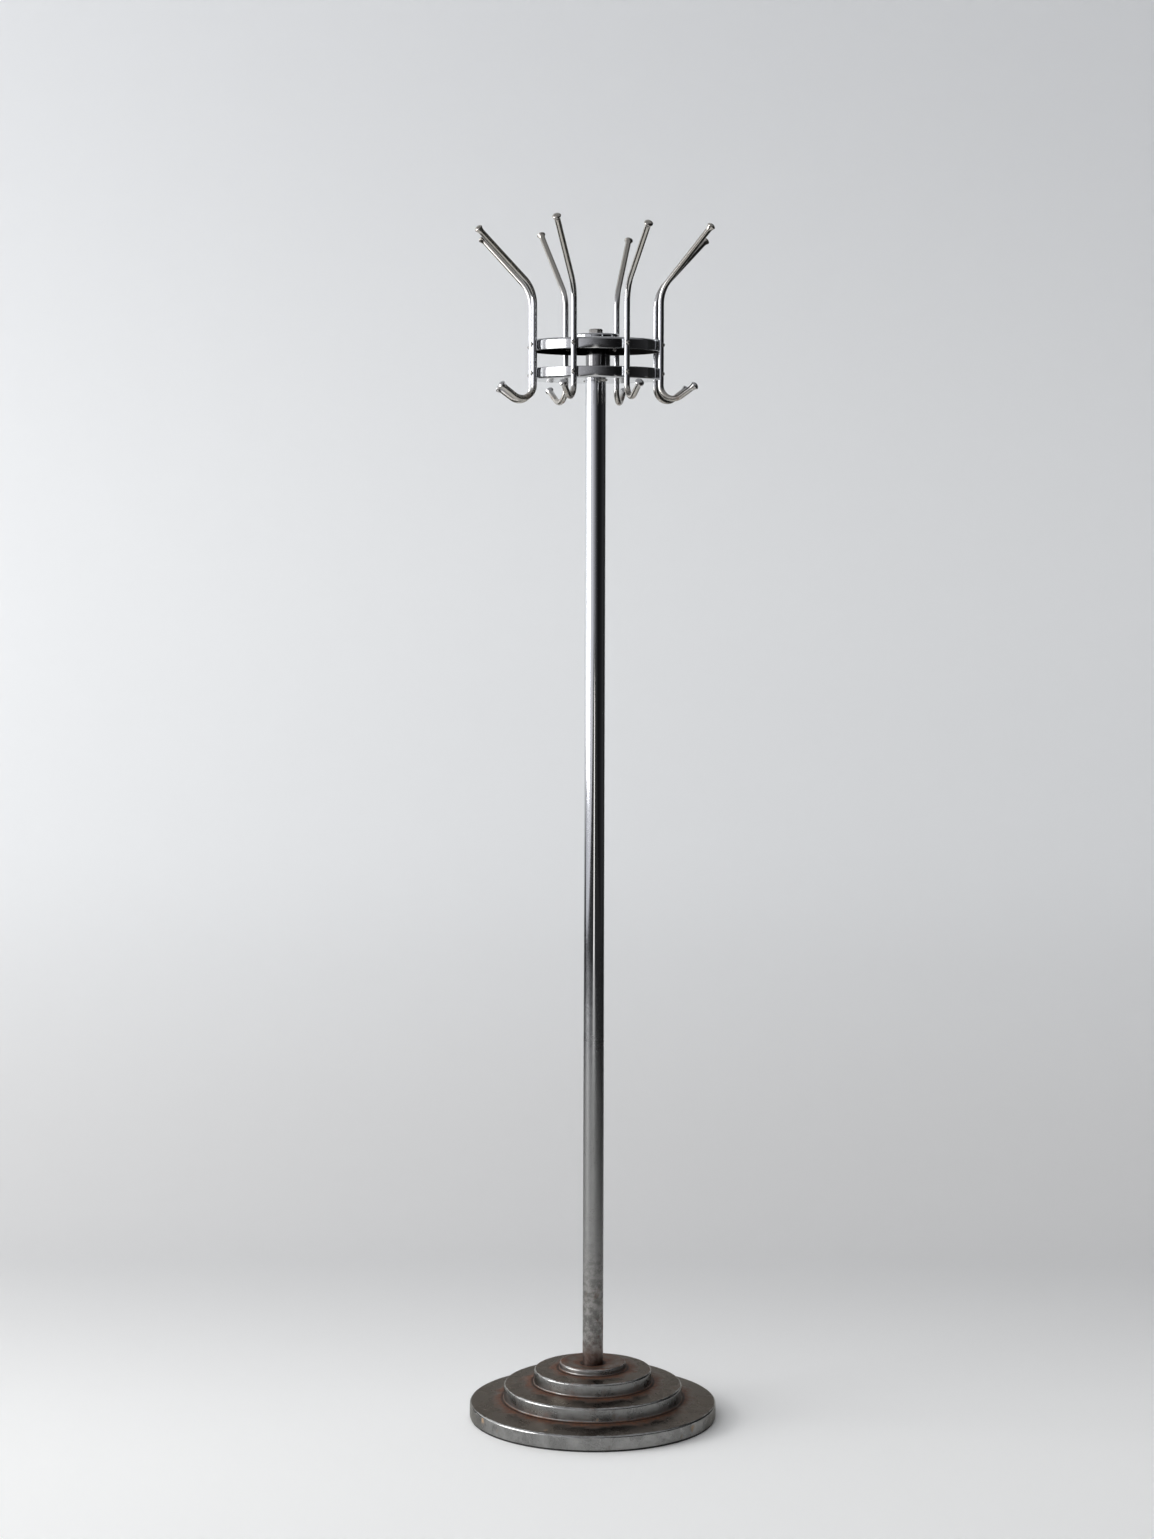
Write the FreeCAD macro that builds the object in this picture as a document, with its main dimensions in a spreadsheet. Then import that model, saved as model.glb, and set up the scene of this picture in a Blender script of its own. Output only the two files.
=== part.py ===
import FreeCAD, Part

# Standing coat rack, in millimetres. +Z is up, and the origin is the middle of the foot on the floor.
#
# From the floor up: a floor ring under a stepped cast foot, a tube pole bolted into the foot from
# below, and a fixed head. The head is a stack on the pole's top plug: a lower pan that opens upwards,
# the plug's flange, a spacer tube, an upper pan that opens downwards, a pressed cap and a hexagon bolt.
# Eight bent rods stand on the pans' rims, each held by two rivets.

import math
import os

import Sketcher
from FreeCAD import Placement, Rotation, Vector

SIZES = [
    # Foot
    ("ring_thickness", 2.5, "floor ring, height"),
    ("ring_width", 16, "floor ring, radial width"),
    ("ring_inset", 1.5, "floor ring, how far inside the foot's edge"),
    ("tier_1_radius", 171.5, "widest tier"),
    ("tier_2_radius", 124, "second tier"),
    ("tier_3_radius", 82, "third tier"),
    ("tier_4_radius", 46.2, "top tier"),
    ("tier_1_wall", 19.5, "widest tier, height of its upright edge"),
    ("tier_2_wall", 19.3, "second tier, height of its upright edge"),
    ("tier_3_wall", 18, "third tier, height of its upright edge"),
    ("tier_4_wall", 9.7, "top tier, height of its upright edge"),
    ("tier_1_rise", 4.6, "widest tier, rise of its top towards the pole"),
    ("tier_2_rise", 3, "second tier, rise of its top towards the pole"),
    ("tier_3_rise", 1.6, "third tier, rise of its top towards the pole"),
    ("tier_4_dish", 3.5, "top tier, fall of its top towards the pole"),
    ("edge_round", 3.2, "rounding of the tiers' top edges"),
    ("crease_round", 2.2, "cove where a tier meets the next"),
    ("foot_shell", 9, "thickness of the cast shell"),
    ("hub_radius", 27, "hub inside the foot that holds the pole"),
    ("hub_clearance", 16, "height of the hub's underside above the floor"),
    ("socket_depth", 34, "depth of the pole's socket"),
    # Pole
    ("pole_radius", 14.3, "tube, outside"),
    ("pole_wall", 1.65, "tube, wall"),
    ("pole_length", 1393, "tube, length"),
    ("plug_length", 38, "both plugs, length inside the tube"),
    ("fit", 0.05, "radial clearance of turned fits"),
    ("socket_clearance", 0.15, "radial clearance of the pole in its socket"),
    # Head
    ("pan_radius", 88.5, "both pans, outside"),
    ("pan_depth", 15.5, "both pans, height"),
    ("pan_sheet", 2, "both pans, sheet thickness"),
    ("pan_round", 3, "both pans, outside rounding of the bent edge"),
    ("pan_gap", 23, "clear height between the pans' rims"),
    ("flange_margin", 7.5, "top plug's flange, metal outside the pan screws"),
    ("flange_thickness", 5, "top plug's flange"),
    ("spacer_radius", 16.7, "spacer tube, outside"),
    ("spacer_wall", 3.4, "spacer tube, wall"),
    ("spacer_offset", 3.2, "how far the spacer sits off the bolt's centre"),
    ("spacer_turn", 18, "direction of that offset, in degrees"),
    ("cap_radius", 32.5, "cap, outside"),
    ("cap_height", 8.5, "cap, height"),
    ("cap_sheet", 1.5, "cap, sheet thickness"),
    ("cap_round", 2.6, "cap, outside rounding of its edge"),
    ("cap_dish_radius", 19, "cap, radius of the sunk middle"),
    ("cap_dish_depth", 2.5, "cap, depth of the sunk middle"),
    ("pan_screw_clearance", 1.9, "pan screws, gap between their heads and the pole"),
    ("pan_screw_turn", 318.5, "pan screws, direction of the first, in degrees"),
    ("pan_screw_head", 5.8, "pan screws, head radius"),
    ("pan_screw_dome", 3, "pan screws, head height"),
    ("pan_screw_shank", 2.5, "pan screws, shank radius"),
    # Bolts
    ("bolt_radius", 5, "top and base bolt, shank radius"),
    ("bolt_across_flats", 17, "top and base bolt, head width"),
    ("bolt_head", 7.2, "top and base bolt, head height"),
    ("bolt_grip", 26, "top and base bolt, length inside the plug"),
    ("bolt_clearance", 0.5, "clearance holes for the bolts, radial clearance"),
    ("lock_washer_radius", 8.6, "lock washers, outside"),
    ("lock_washer_thickness", 2.3, "lock washers, height"),
    ("lock_washer_slit", 1.5, "lock washers, width of the slit"),
    ("lock_washer_clearance", 0.2, "lock washers, radial clearance on the bolt"),
    ("base_washer_radius", 22, "base washer, outside"),
    ("base_washer_thickness", 3, "base washer, height"),
    # Rods
    ("rod_radius", 3.97, "rods"),
    ("rod_gap", 0.05, "gap between rod and rim"),
    ("elbow_height", 65.5, "from the upper pan's top to the elbow's corner"),
    ("elbow_round", 48, "elbow, radius of the rod's centreline"),
    ("hook_drop", 25.5, "from the lower pan's underside to the hook's lowest centreline"),
    ("hook_round", 18, "hook, radius of the rod's centreline"),
    ("tail_rise", 35, "hook's tail, angle above level"),
    ("tail_length", 24.5, "hook's tail, straight length with its tip"),
    ("tip_radius", 5.9, "rod tips, largest radius"),
    ("tip_flare", 7.5, "rod tips, length of the flare"),
    ("tip_land", 0.8, "rod tips, height of the upright edge"),
    ("tip_dome", 3, "rod tips, height of the dome"),
    # Rivets
    ("rivet_radius", 1.6, "rivets, shank"),
    ("rivet_head_radius", 2.9, "rivets, heads"),
    ("rivet_head", 2.3, "rivets, height of the outer head"),
    ("rivet_seat", 0.8, "rivets, depth of the seat in the rod"),
    ("rivet_tail", 1.2, "rivets, height of the closed end inside the rim"),
]

# The rods are bent by hand, so each arm leans, turns and reaches a little differently.
# Lean is degrees from upright, turn is degrees about the rod's own shank, reach is the arm's length.
ROD_BENDS = [
    (40, -0.5, 109),
    (46, 3, 110),
    (42.5, 5.5, 114.5),
    (39.5, 1.5, 117),
    (44, -3, 105.5),
    (46.5, -1.5, 112.5),
    (42.5, 1.5, 115.5),
    (46, -7, 110.5),
]
ROD_COUNT = len(ROD_BENDS)
ROD_STEP = 360 / ROD_COUNT
for number, (lean, turn, reach) in enumerate(ROD_BENDS, start=1):
    SIZES.append((f"lean_{number}", lean, f"hook_{number}, lean of the arm in degrees"))
    SIZES.append((f"turn_{number}", turn, f"hook_{number}, turn about its shank in degrees"))
    SIZES.append((f"reach_{number}", reach, f"hook_{number}, length of the arm"))

SHEET = "sizes"
SAME = 1e-4             # lengths closer than this are the same
CUT_MARGIN = 1          # how far a cutting tool runs past the face it cuts
BOLT_FACE = 0.95        # round end face of a bolt's head, as a share of half its width across flats
CHAMFER_SLOPE = math.sqrt(3)    # run over rise of a bolt head's 30 degree chamfer


class Size:
    """A length or angle that knows its value now and the sheet expression that gives it."""

    def __init__(self, text, value):
        self.text = text
        self.value = value

    @staticmethod
    def of(other):
        return other if isinstance(other, Size) else Size(str(other), float(other))

    def __add__(self, other):
        other = Size.of(other)
        return Size(f"({self.text} + {other.text})", self.value + other.value)

    def __sub__(self, other):
        other = Size.of(other)
        return Size(f"({self.text} - {other.text})", self.value - other.value)

    def __mul__(self, other):
        other = Size.of(other)
        return Size(f"({self.text} * {other.text})", self.value * other.value)

    def __truediv__(self, other):
        other = Size.of(other)
        return Size(f"({self.text} / {other.text})", self.value / other.value)

    def degrees(self):
        """The same number, marked as an angle for a property that takes one."""
        return f"{self.text} * 1 deg"


def sine(angle):
    return Size(f"sin({angle.text} * 1 deg)", math.sin(math.radians(angle.value)))


def cosine(angle):
    return Size(f"cos({angle.text} * 1 deg)", math.cos(math.radians(angle.value)))


def tangent(angle):
    return Size(f"tan({angle.text} * 1 deg)", math.tan(math.radians(angle.value)))


ZERO = Size("0", 0.0)


def make_sheet(doc):
    """Fill the sheet and return its named sizes."""
    sheet = doc.addObject("Spreadsheet::Sheet", SHEET)
    sizes = {}
    for row, (name, value, note) in enumerate(SIZES, start=1):
        sheet.set(f"A{row}", name)
        sheet.set(f"B{row}", str(value))
        sheet.set(f"C{row}", note)
        sheet.setAlias(f"B{row}", name)
        sizes[name] = Size(f"{SHEET}.{name}", float(value))
    doc.recompute()
    return sizes


def bind(obj, bindings):
    """Bind properties of obj to sizes."""
    for path, size in bindings.items():
        obj.setExpression(path, Size.of(size).text)


# ---------------------------------------------------------------- sketches and bodies

def new_body(doc, label):
    body = doc.addObject("PartDesign::Body", label)
    body.Label = label
    return body


def origin_of(body, role):
    """One of the body's own origin planes or axes."""
    return next(item for item in body.Origin.OriginFeatures if item.Role == role)


def new_sketch(body, name, plane):
    sketch = body.newObject("Sketcher::SketchObject", name)
    sketch.AttachmentSupport = [(origin_of(body, plane), "")]
    sketch.MapMode = "FlatFace"
    return sketch


def arc_between(start, end, centre):
    """The shorter arc about centre, and whether it runs backwards, from end to start."""
    radius = (start - centre).Length
    first = math.atan2(start.y - centre.y, start.x - centre.x)
    last = math.atan2(end.y - centre.y, end.x - centre.x)
    backwards = (last - first) % (2 * math.pi) > math.pi
    if backwards:
        first, last = last, first
    circle = Part.Circle(centre, Vector(0, 0, 1), radius)
    return Part.ArcOfCircle(circle, first, last), backwards


def draw_chain(sketch, points, arcs=None, closed=True):
    """Draw a chain of lines and arcs through points, with every point bound to the sheet.

    points are (x, y) sizes. arcs maps the number of the point that an arc starts from to the arc's
    radius and centre; the arc's ends are its points, so only its radius is bound.
    """
    arcs = arcs or {}
    count = len(points)
    places = [Vector(x.value, y.value, 0) for x, y in points]
    starts, ends = [], []
    for index in range(count if closed else count - 1):
        start, end = places[index], places[(index + 1) % count]
        if index in arcs:
            radius, (centre_x, centre_y) = arcs[index]
            arc, backwards = arc_between(start, end, Vector(centre_x.value, centre_y.value, 0))
            edge = sketch.addGeometry(arc, False)
            bend = sketch.addConstraint(Sketcher.Constraint("Radius", edge, radius.value))
            sketch.renameConstraint(bend, f"bend_{index}")
            bind(sketch, {f"Constraints.bend_{index}": radius})
        else:
            backwards = False
            edge = sketch.addGeometry(Part.LineSegment(start, end), False)
        starts.append((edge, 2 if backwards else 1))
        ends.append((edge, 1 if backwards else 2))
    for index, end in enumerate(ends):
        if closed or index + 1 < len(starts):
            start = starts[(index + 1) % len(starts)]
            sketch.addConstraint(Sketcher.Constraint("Coincident", *end, *start))
    vertices = starts if closed else starts + [ends[-1]]
    for index, (vertex, (x, y)) in enumerate(zip(vertices, points)):
        for letter, kind, axis, size in (("x", "DistanceX", -2, x), ("y", "DistanceY", -1, y)):
            if size is ZERO:
                sketch.addConstraint(Sketcher.Constraint("PointOnObject", *vertex, axis))
                continue
            name = f"{letter}_{index}"
            place = sketch.addConstraint(Sketcher.Constraint(kind, -1, 1, *vertex, size.value))
            sketch.renameConstraint(place, name)
            bind(sketch, {f"Constraints.{name}": size})


def draw_circle(sketch, radius, x=ZERO, y=ZERO):
    """Draw a circle with its radius and centre bound to the sheet."""
    centre = Vector(x.value, y.value, 0)
    circle = sketch.addGeometry(Part.Circle(centre, Vector(0, 0, 1), radius.value), False)
    size = sketch.addConstraint(Sketcher.Constraint("Radius", circle, radius.value))
    bind(sketch, {f"Constraints[{size}]": radius})
    for kind, axis, place in (("DistanceX", -2, x), ("DistanceY", -1, y)):
        if place is ZERO:
            sketch.addConstraint(Sketcher.Constraint("PointOnObject", circle, 3, axis))
            continue
        distance = sketch.addConstraint(Sketcher.Constraint(kind, -1, 1, circle, 3, place.value))
        bind(sketch, {f"Constraints[{distance}]": place})


def revolve(body, name, sketch, axis="V_Axis"):
    turned = body.newObject("PartDesign::Revolution", name)
    turned.Profile = sketch
    turned.ReferenceAxis = (sketch, [axis])
    turned.Angle = 360
    return turned


def turned_body(doc, label, outline, height=ZERO, arcs=None):
    """A body turned from one closed outline of (radius, height) points, lifted to height."""
    body = new_body(doc, label)
    sketch = new_sketch(body, f"{label}_outline", "XZ_Plane")
    draw_chain(sketch, outline, arcs)
    revolve(body, f"{label}_turned", sketch)
    bind(body, {"Placement.Base.z": height})
    return body


def round_edges(doc, body, name, circles, radius):
    """Fillet the circular edges about Z given as (radius, height) pairs in the body's own frame."""
    doc.recompute()
    base = body.Tip
    edges = []
    for wanted_radius, wanted_height in circles:
        for number, edge in enumerate(base.Shape.Edges, start=1):
            curve = edge.Curve
            if not isinstance(curve, Part.Circle):
                continue
            near_radius = abs(curve.Radius - wanted_radius.value) < SAME
            near_height = abs(curve.Center.z - wanted_height.value) < SAME
            if near_radius and near_height:
                edges.append(f"Edge{number}")
    if len(edges) < len(circles):
        raise RuntimeError(f"{name}: found {len(edges)} of {len(circles)} edges to round")
    fillet = body.newObject("PartDesign::Fillet", name)
    fillet.Base = (base, edges)
    bind(fillet, {"Radius": radius})


def round_pattern(body, name, feature, count):
    """Repeat a feature evenly about the body's Z axis."""
    pattern = body.newObject("PartDesign::PolarPattern", name)
    pattern.Originals = [feature]
    pattern.Axis = (origin_of(body, "Z_Axis"), [""])
    pattern.Angle = 360
    pattern.Occurrences = count
    body.Tip = pattern


def cylinder(doc, name, radius, height, x=ZERO, y=ZERO, z=ZERO):
    solid = doc.addObject("Part::Cylinder", name)
    bind(solid, {
        "Radius": radius,
        "Height": height,
        "Placement.Base.x": x,
        "Placement.Base.y": y,
        "Placement.Base.z": z,
    })
    return solid


def cut(doc, label, base, tool):
    result = doc.addObject("Part::Cut", label)
    result.Label = label
    result.Base = base
    result.Tool = tool
    return result


# ---------------------------------------------------------------- sizes that several pieces share

def bolt_hole(s):
    """Radius of the clearance holes for both bolts."""
    return s["bolt_radius"] + s["bolt_clearance"]


def pan_screw_circle(s):
    """Radius of the pan screws' circle, where their heads clear the pole."""
    return s["pole_radius"] + s["pan_screw_clearance"] + s["pan_screw_head"]


# ---------------------------------------------------------------- foot

def foot_levels(s):
    """Heights that the foot sets: tier edges, the bottom of the socket and the hub's underside."""
    edge_1 = s["ring_thickness"] + s["tier_1_wall"]
    edge_2 = edge_1 + s["tier_1_rise"] + s["tier_2_wall"]
    edge_3 = edge_2 + s["tier_2_rise"] + s["tier_3_wall"]
    edge_4 = edge_3 + s["tier_3_rise"] + s["tier_4_wall"]
    return {
        "edges": [edge_1, edge_2, edge_3, edge_4],
        "pole_foot": edge_4 - s["tier_4_dish"] - s["socket_depth"],
        "hub_low": s["hub_clearance"],
    }


def make_foot(doc, s):
    """The cast foot: four round tiers over a hollow shell, with a hub and a socket for the pole."""
    levels = foot_levels(s)
    shell = s["foot_shell"]
    socket = s["pole_radius"] + s["socket_clearance"]
    radii = [s[f"tier_{tier}_radius"] for tier in (1, 2, 3, 4)]
    rises = [s[f"tier_{tier}_rise"] for tier in (1, 2, 3)]
    edges = levels["edges"]
    floor = s["ring_thickness"]

    outside = [(radii[0], floor), (radii[0], edges[0])]
    for tier in (1, 2, 3):
        crease = edges[tier - 1] + rises[tier - 1]
        outside += [(radii[tier], crease), (radii[tier], edges[tier])]
    bore = [
        (socket, edges[3] - s["tier_4_dish"]),
        (socket, levels["pole_foot"]),
        (bolt_hole(s), levels["pole_foot"]),
        (bolt_hole(s), levels["hub_low"]),
        (s["hub_radius"], levels["hub_low"]),
        (s["hub_radius"], edges[2] - shell),
    ]
    inside = []
    for tier in (2, 1):
        inside += [(radii[tier] - shell, edges[tier] - shell), (radii[tier] - shell, edges[tier - 1] - shell)]
    inside += [(radii[0] - shell, edges[0] - shell), (radii[0] - shell, floor)]

    body = turned_body(doc, "base_casting", outside + bore + inside)
    round_edges(doc, body, "rounded_edges", list(zip(radii, edges)), s["edge_round"])
    creases = [(radii[tier], edges[tier - 1] + rises[tier - 1]) for tier in (1, 2, 3)]
    round_edges(doc, body, "rounded_creases", creases, s["crease_round"])


def make_floor_ring(doc, s):
    """The thin ring that the foot stands on."""
    outer = s["tier_1_radius"] - s["ring_inset"]
    inner = outer - s["ring_width"]
    ring = s["ring_thickness"]
    turned_body(doc, "base_floor_ring", [(inner, ZERO), (outer, ZERO), (outer, ring), (inner, ring)])


# ---------------------------------------------------------------- pole

def make_pole(doc, s):
    """The tube, and the two threaded plugs pressed into its ends."""
    foot = foot_levels(s)["pole_foot"]
    top = pole_top(s)
    inner = s["pole_radius"] - s["pole_wall"]
    plug = inner - s["fit"]
    thread = s["bolt_radius"] + s["fit"]

    outer_tube = cylinder(doc, "tube_outside", s["pole_radius"], s["pole_length"])
    inner_tube = cylinder(doc, "tube_inside", inner, s["pole_length"])
    tube = cut(doc, "pole_tube", outer_tube, inner_tube)
    bind(tube, {"Placement.Base.z": foot})

    outside = cylinder(doc, "lower_plug_outside", plug, s["plug_length"])
    bore = cylinder(doc, "lower_plug_bore", thread, s["plug_length"])
    lower_plug = cut(doc, "pole_lower_plug", outside, bore)
    bind(lower_plug, {"Placement.Base.z": foot})

    length = s["plug_length"]
    flange = pan_screw_circle(s) + s["pan_screw_shank"] + s["flange_margin"]
    neck_top = length + s["pan_sheet"]
    flange_top = neck_top + s["flange_thickness"]
    body = turned_body(doc, "pole_upper_plug", [
        (thread, ZERO),
        (plug, ZERO),
        (plug, neck_top),
        (flange, neck_top),
        (flange, flange_top),
        (thread, flange_top),
    ], top - length)
    drill_screw_holes(body, s, "YZ_Plane", length, flange_top)


def pole_top(s):
    return foot_levels(s)["pole_foot"] + s["pole_length"]


def drill_screw_holes(body, s, plane, low, high):
    """Two holes on the pan screws' circle, cut by turning a narrow outline about their own axis."""
    hole = s["pan_screw_shank"] + s["fit"]
    for side in (0, 1):
        sketch = new_sketch(body, f"screw_hole_{side}", plane)
        draw_chain(sketch, [(ZERO, low), (hole, low), (hole, high), (ZERO, high)])
        angle = s["pan_screw_turn"] + 180 * side
        sketch.AttachmentOffset = Placement(Vector(1, 0, 1), Rotation())
        bind(sketch, {
            "AttachmentOffset.Base.x": pan_screw_circle(s) * sine(angle),
            "AttachmentOffset.Base.z": pan_screw_circle(s) * cosine(angle),
        })
        groove = body.newObject("PartDesign::Groove", f"screw_bore_{side}")
        groove.Profile = sketch
        groove.ReferenceAxis = (sketch, ["V_Axis"])
        groove.Angle = 360


# ---------------------------------------------------------------- head

def head_levels(s):
    """Heights of the two pans' floors and rims, from the pole's top up."""
    lower_floor = pole_top(s)
    lower_rim = lower_floor + s["pan_depth"]
    upper_rim = lower_rim + s["pan_gap"]
    upper_top = upper_rim + s["pan_depth"]
    half = s["pan_depth"] / 2
    return {
        "lower_floor": lower_floor,
        "upper_rim": upper_rim,
        "upper_top": upper_top,
        "rivets": {"lower": lower_floor + half, "upper": upper_top - half},
        "middle": (lower_rim + upper_rim) / 2,
        "flange_top": lower_floor + s["pan_sheet"] + s["flange_thickness"],
        "washer_seat": upper_top + s["cap_height"] - s["cap_dish_depth"],
    }


def pan_outline(s, hole, opens_up):
    """A pan's outline, with its floor below when it opens up and above when it opens down."""
    radius, depth, sheet = s["pan_radius"], s["pan_depth"], s["pan_sheet"]
    floor, inner_floor, rim = (ZERO, sheet, depth) if opens_up else (depth, depth - sheet, ZERO)
    corners = [(radius, floor), (radius - sheet, inner_floor)]
    outline = [
        (hole, floor),
        (radius, floor),
        (radius, rim),
        (radius - sheet, rim),
        (radius - sheet, inner_floor),
        (hole, inner_floor),
    ]
    return outline, corners


def make_pan(doc, s, label, hole, height, opens_up):
    """A pressed pan with a rounded bent edge and a rivet hole for each rod."""
    outline, corners = pan_outline(s, hole, opens_up)
    body = turned_body(doc, label, outline, height)
    round_edges(doc, body, f"{label}_outer_bend", corners[:1], s["pan_round"])
    round_edges(doc, body, f"{label}_inner_bend", corners[1:], s["pan_round"] - s["pan_sheet"])
    sketch = new_sketch(body, f"{label}_rivet_hole", "YZ_Plane")
    draw_circle(sketch, s["rivet_radius"] + s["fit"], ZERO, s["pan_depth"] / 2)
    pocket = body.newObject("PartDesign::Pocket", f"{label}_rivet_bore")
    pocket.Profile = sketch
    pocket.Type = "Length"
    pocket.Reversed = True
    bind(pocket, {"Length": s["pan_radius"] + CUT_MARGIN})
    body.Tip = pocket
    round_pattern(body, f"{label}_rivet_bores", pocket, ROD_COUNT)
    return body


def make_pans(doc, s):
    levels = head_levels(s)
    neck = s["pole_radius"] - s["pole_wall"]
    lower = make_pan(doc, s, "lower_pan", neck, levels["lower_floor"], True)
    make_pan(doc, s, "upper_pan", bolt_hole(s), levels["upper_rim"], False)
    drill_screw_holes(lower, s, "YZ_Plane", ZERO, s["pan_sheet"])


def make_pan_screws(doc, s):
    """Two round-headed screws that hold the lower pan up against the plug's flange."""
    levels = head_levels(s)
    head, shank, dome = s["pan_screw_head"], s["pan_screw_shank"], s["pan_screw_dome"]
    dome_round = (head * head + dome * dome) / (dome * 2)
    top = dome + s["pan_sheet"] + s["flange_thickness"]
    body = new_body(doc, "pan_screws")
    sketch = new_sketch(body, "pan_screw_outline", "YZ_Plane")
    sketch.AttachmentOffset = Placement(Vector(1, 0, 1), Rotation())
    bind(sketch, {
        "AttachmentOffset.Base.x": pan_screw_circle(s) * sine(s["pan_screw_turn"]),
        "AttachmentOffset.Base.z": pan_screw_circle(s) * cosine(s["pan_screw_turn"]),
    })
    outline = [(ZERO, ZERO), (head, dome), (shank, dome), (shank, top), (ZERO, top)]
    draw_chain(sketch, outline, {0: (dome_round, (ZERO, dome_round))})
    screw = revolve(body, "pan_screw", sketch)
    round_pattern(body, "pan_screw_pair", screw, 2)
    bind(body, {"Placement.Base.z": levels["lower_floor"] - dome})


def make_spacer(doc, s):
    """The tube that keeps the pans apart; it is slack on the bolt and sits a little to one side."""
    levels = head_levels(s)
    low = levels["flange_top"]
    length = levels["upper_top"] - s["pan_sheet"] - low
    outside = cylinder(doc, "spacer_outside", s["spacer_radius"], length)
    inside = cylinder(doc, "spacer_inside", s["spacer_radius"] - s["spacer_wall"], length)
    spacer = cut(doc, "head_spacer", outside, inside)
    bind(spacer, {
        "Placement.Base.x": s["spacer_offset"] * cosine(s["spacer_turn"]),
        "Placement.Base.y": s["spacer_offset"] * sine(s["spacer_turn"]),
        "Placement.Base.z": low,
    })


def make_cap(doc, s):
    """The pressed cap under the top bolt, with a sunk middle."""
    radius, height, sheet = s["cap_radius"], s["cap_height"], s["cap_sheet"]
    dish, sunk = s["cap_dish_radius"], height - s["cap_dish_depth"]
    hole = bolt_hole(s)
    shoulder = dish + s["cap_dish_depth"]
    body = turned_body(doc, "top_cap", [
        (hole, sunk - sheet),
        (dish + sheet, sunk - sheet),
        (shoulder + sheet, height - sheet),
        (radius - sheet, height - sheet),
        (radius - sheet, ZERO),
        (radius, ZERO),
        (radius, height),
        (shoulder, height),
        (dish, sunk),
        (hole, sunk),
    ], head_levels(s)["upper_top"])
    round_edges(doc, body, "cap_outer_bend", [(radius, height)], s["cap_round"])
    round_edges(doc, body, "cap_inner_bend", [(radius - sheet, height - sheet)], s["cap_round"] - sheet)


# ---------------------------------------------------------------- bolts and washers

def make_bolt(doc, s, label, seat, grip_end, head_up):
    """A hexagon bolt whose head sits on seat and whose shank runs to grip_end."""
    flats = s["bolt_across_flats"] / 2
    head = s["bolt_head"]
    prism = doc.addObject("Part::Prism", f"{label}_hexagon")
    prism.Polygon = 6
    bind(prism, {"Circumradius": flats / math.cos(math.pi / 6), "Height": head})
    cone = doc.addObject("Part::Cone", f"{label}_chamfer")
    face = flats * BOLT_FACE
    bind(cone, {"Height": head, "Radius1": face + head * CHAMFER_SLOPE, "Radius2": face})
    hexagon = doc.addObject("Part::Common", f"{label}_head")
    hexagon.Base = prism
    hexagon.Tool = cone
    length = seat - grip_end if head_up else grip_end - seat
    shank = cylinder(doc, f"{label}_shank", s["bolt_radius"], length, z=ZERO - length)
    bolt = doc.addObject("Part::Fuse", label)
    bolt.Label = label
    bolt.Base = hexagon
    bolt.Tool = shank
    if not head_up:
        bolt.Placement = Placement(Vector(), Rotation(Vector(1, 0, 0), 180))
    bind(bolt, {"Placement.Base.z": seat})


def make_lock_washer(doc, s, label, height):
    """A split spring washer."""
    thickness = s["lock_washer_thickness"]
    outside = cylinder(doc, f"{label}_outside", s["lock_washer_radius"], thickness)
    hole = s["bolt_radius"] + s["lock_washer_clearance"]
    inside = cylinder(doc, f"{label}_inside", hole, thickness)
    ring = cut(doc, f"{label}_ring", outside, inside)
    slit = doc.addObject("Part::Box", f"{label}_slit")
    bind(slit, {
        "Length": s["lock_washer_radius"] + CUT_MARGIN,
        "Width": s["lock_washer_slit"],
        "Height": thickness,
        "Placement.Base.y": ZERO - s["lock_washer_slit"] / 2,
    })
    washer = cut(doc, label, ring, slit)
    bind(washer, {"Placement.Base.z": height})


def make_fasteners(doc, s):
    """The top bolt with its lock washer, and the base bolt with its two washers."""
    levels = head_levels(s)
    seat = levels["washer_seat"]
    make_lock_washer(doc, s, "top_lock_washer", seat)
    top_seat = seat + s["lock_washer_thickness"]
    make_bolt(doc, s, "top_bolt", top_seat, pole_top(s) - s["bolt_grip"], True)

    hub_low = foot_levels(s)["hub_low"]
    washer_low = hub_low - s["base_washer_thickness"]
    outside = cylinder(doc, "base_washer_outside", s["base_washer_radius"], s["base_washer_thickness"])
    inside = cylinder(doc, "base_washer_hole", bolt_hole(s), s["base_washer_thickness"])
    washer = cut(doc, "base_washer", outside, inside)
    bind(washer, {"Placement.Base.z": washer_low})
    lock_low = washer_low - s["lock_washer_thickness"]
    make_lock_washer(doc, s, "base_lock_washer", lock_low)
    base_grip = foot_levels(s)["pole_foot"] + s["bolt_grip"]
    make_bolt(doc, s, "base_bolt", lock_low, base_grip, False)


# ---------------------------------------------------------------- rods and rivets

def sweep_rod(body, name, s, start, points, arcs):
    """Sweep the rod's round section from the height start along a path in the body's XZ plane."""
    path = new_sketch(body, f"{name}_path", "XZ_Plane")
    draw_chain(path, points, arcs, closed=False)
    section = new_sketch(body, f"{name}_section", "XY_Plane")
    section.AttachmentOffset = Placement(Vector(0, 0, 1), Rotation())
    bind(section, {"AttachmentOffset.Base.z": start})
    draw_circle(section, s["rod_radius"])
    pipe = body.newObject("PartDesign::AdditivePipe", f"{name}_rod")
    pipe.Profile = section
    pipe.Spine = (path, [f"Edge{number}" for number in range(1, len(points))])


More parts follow.
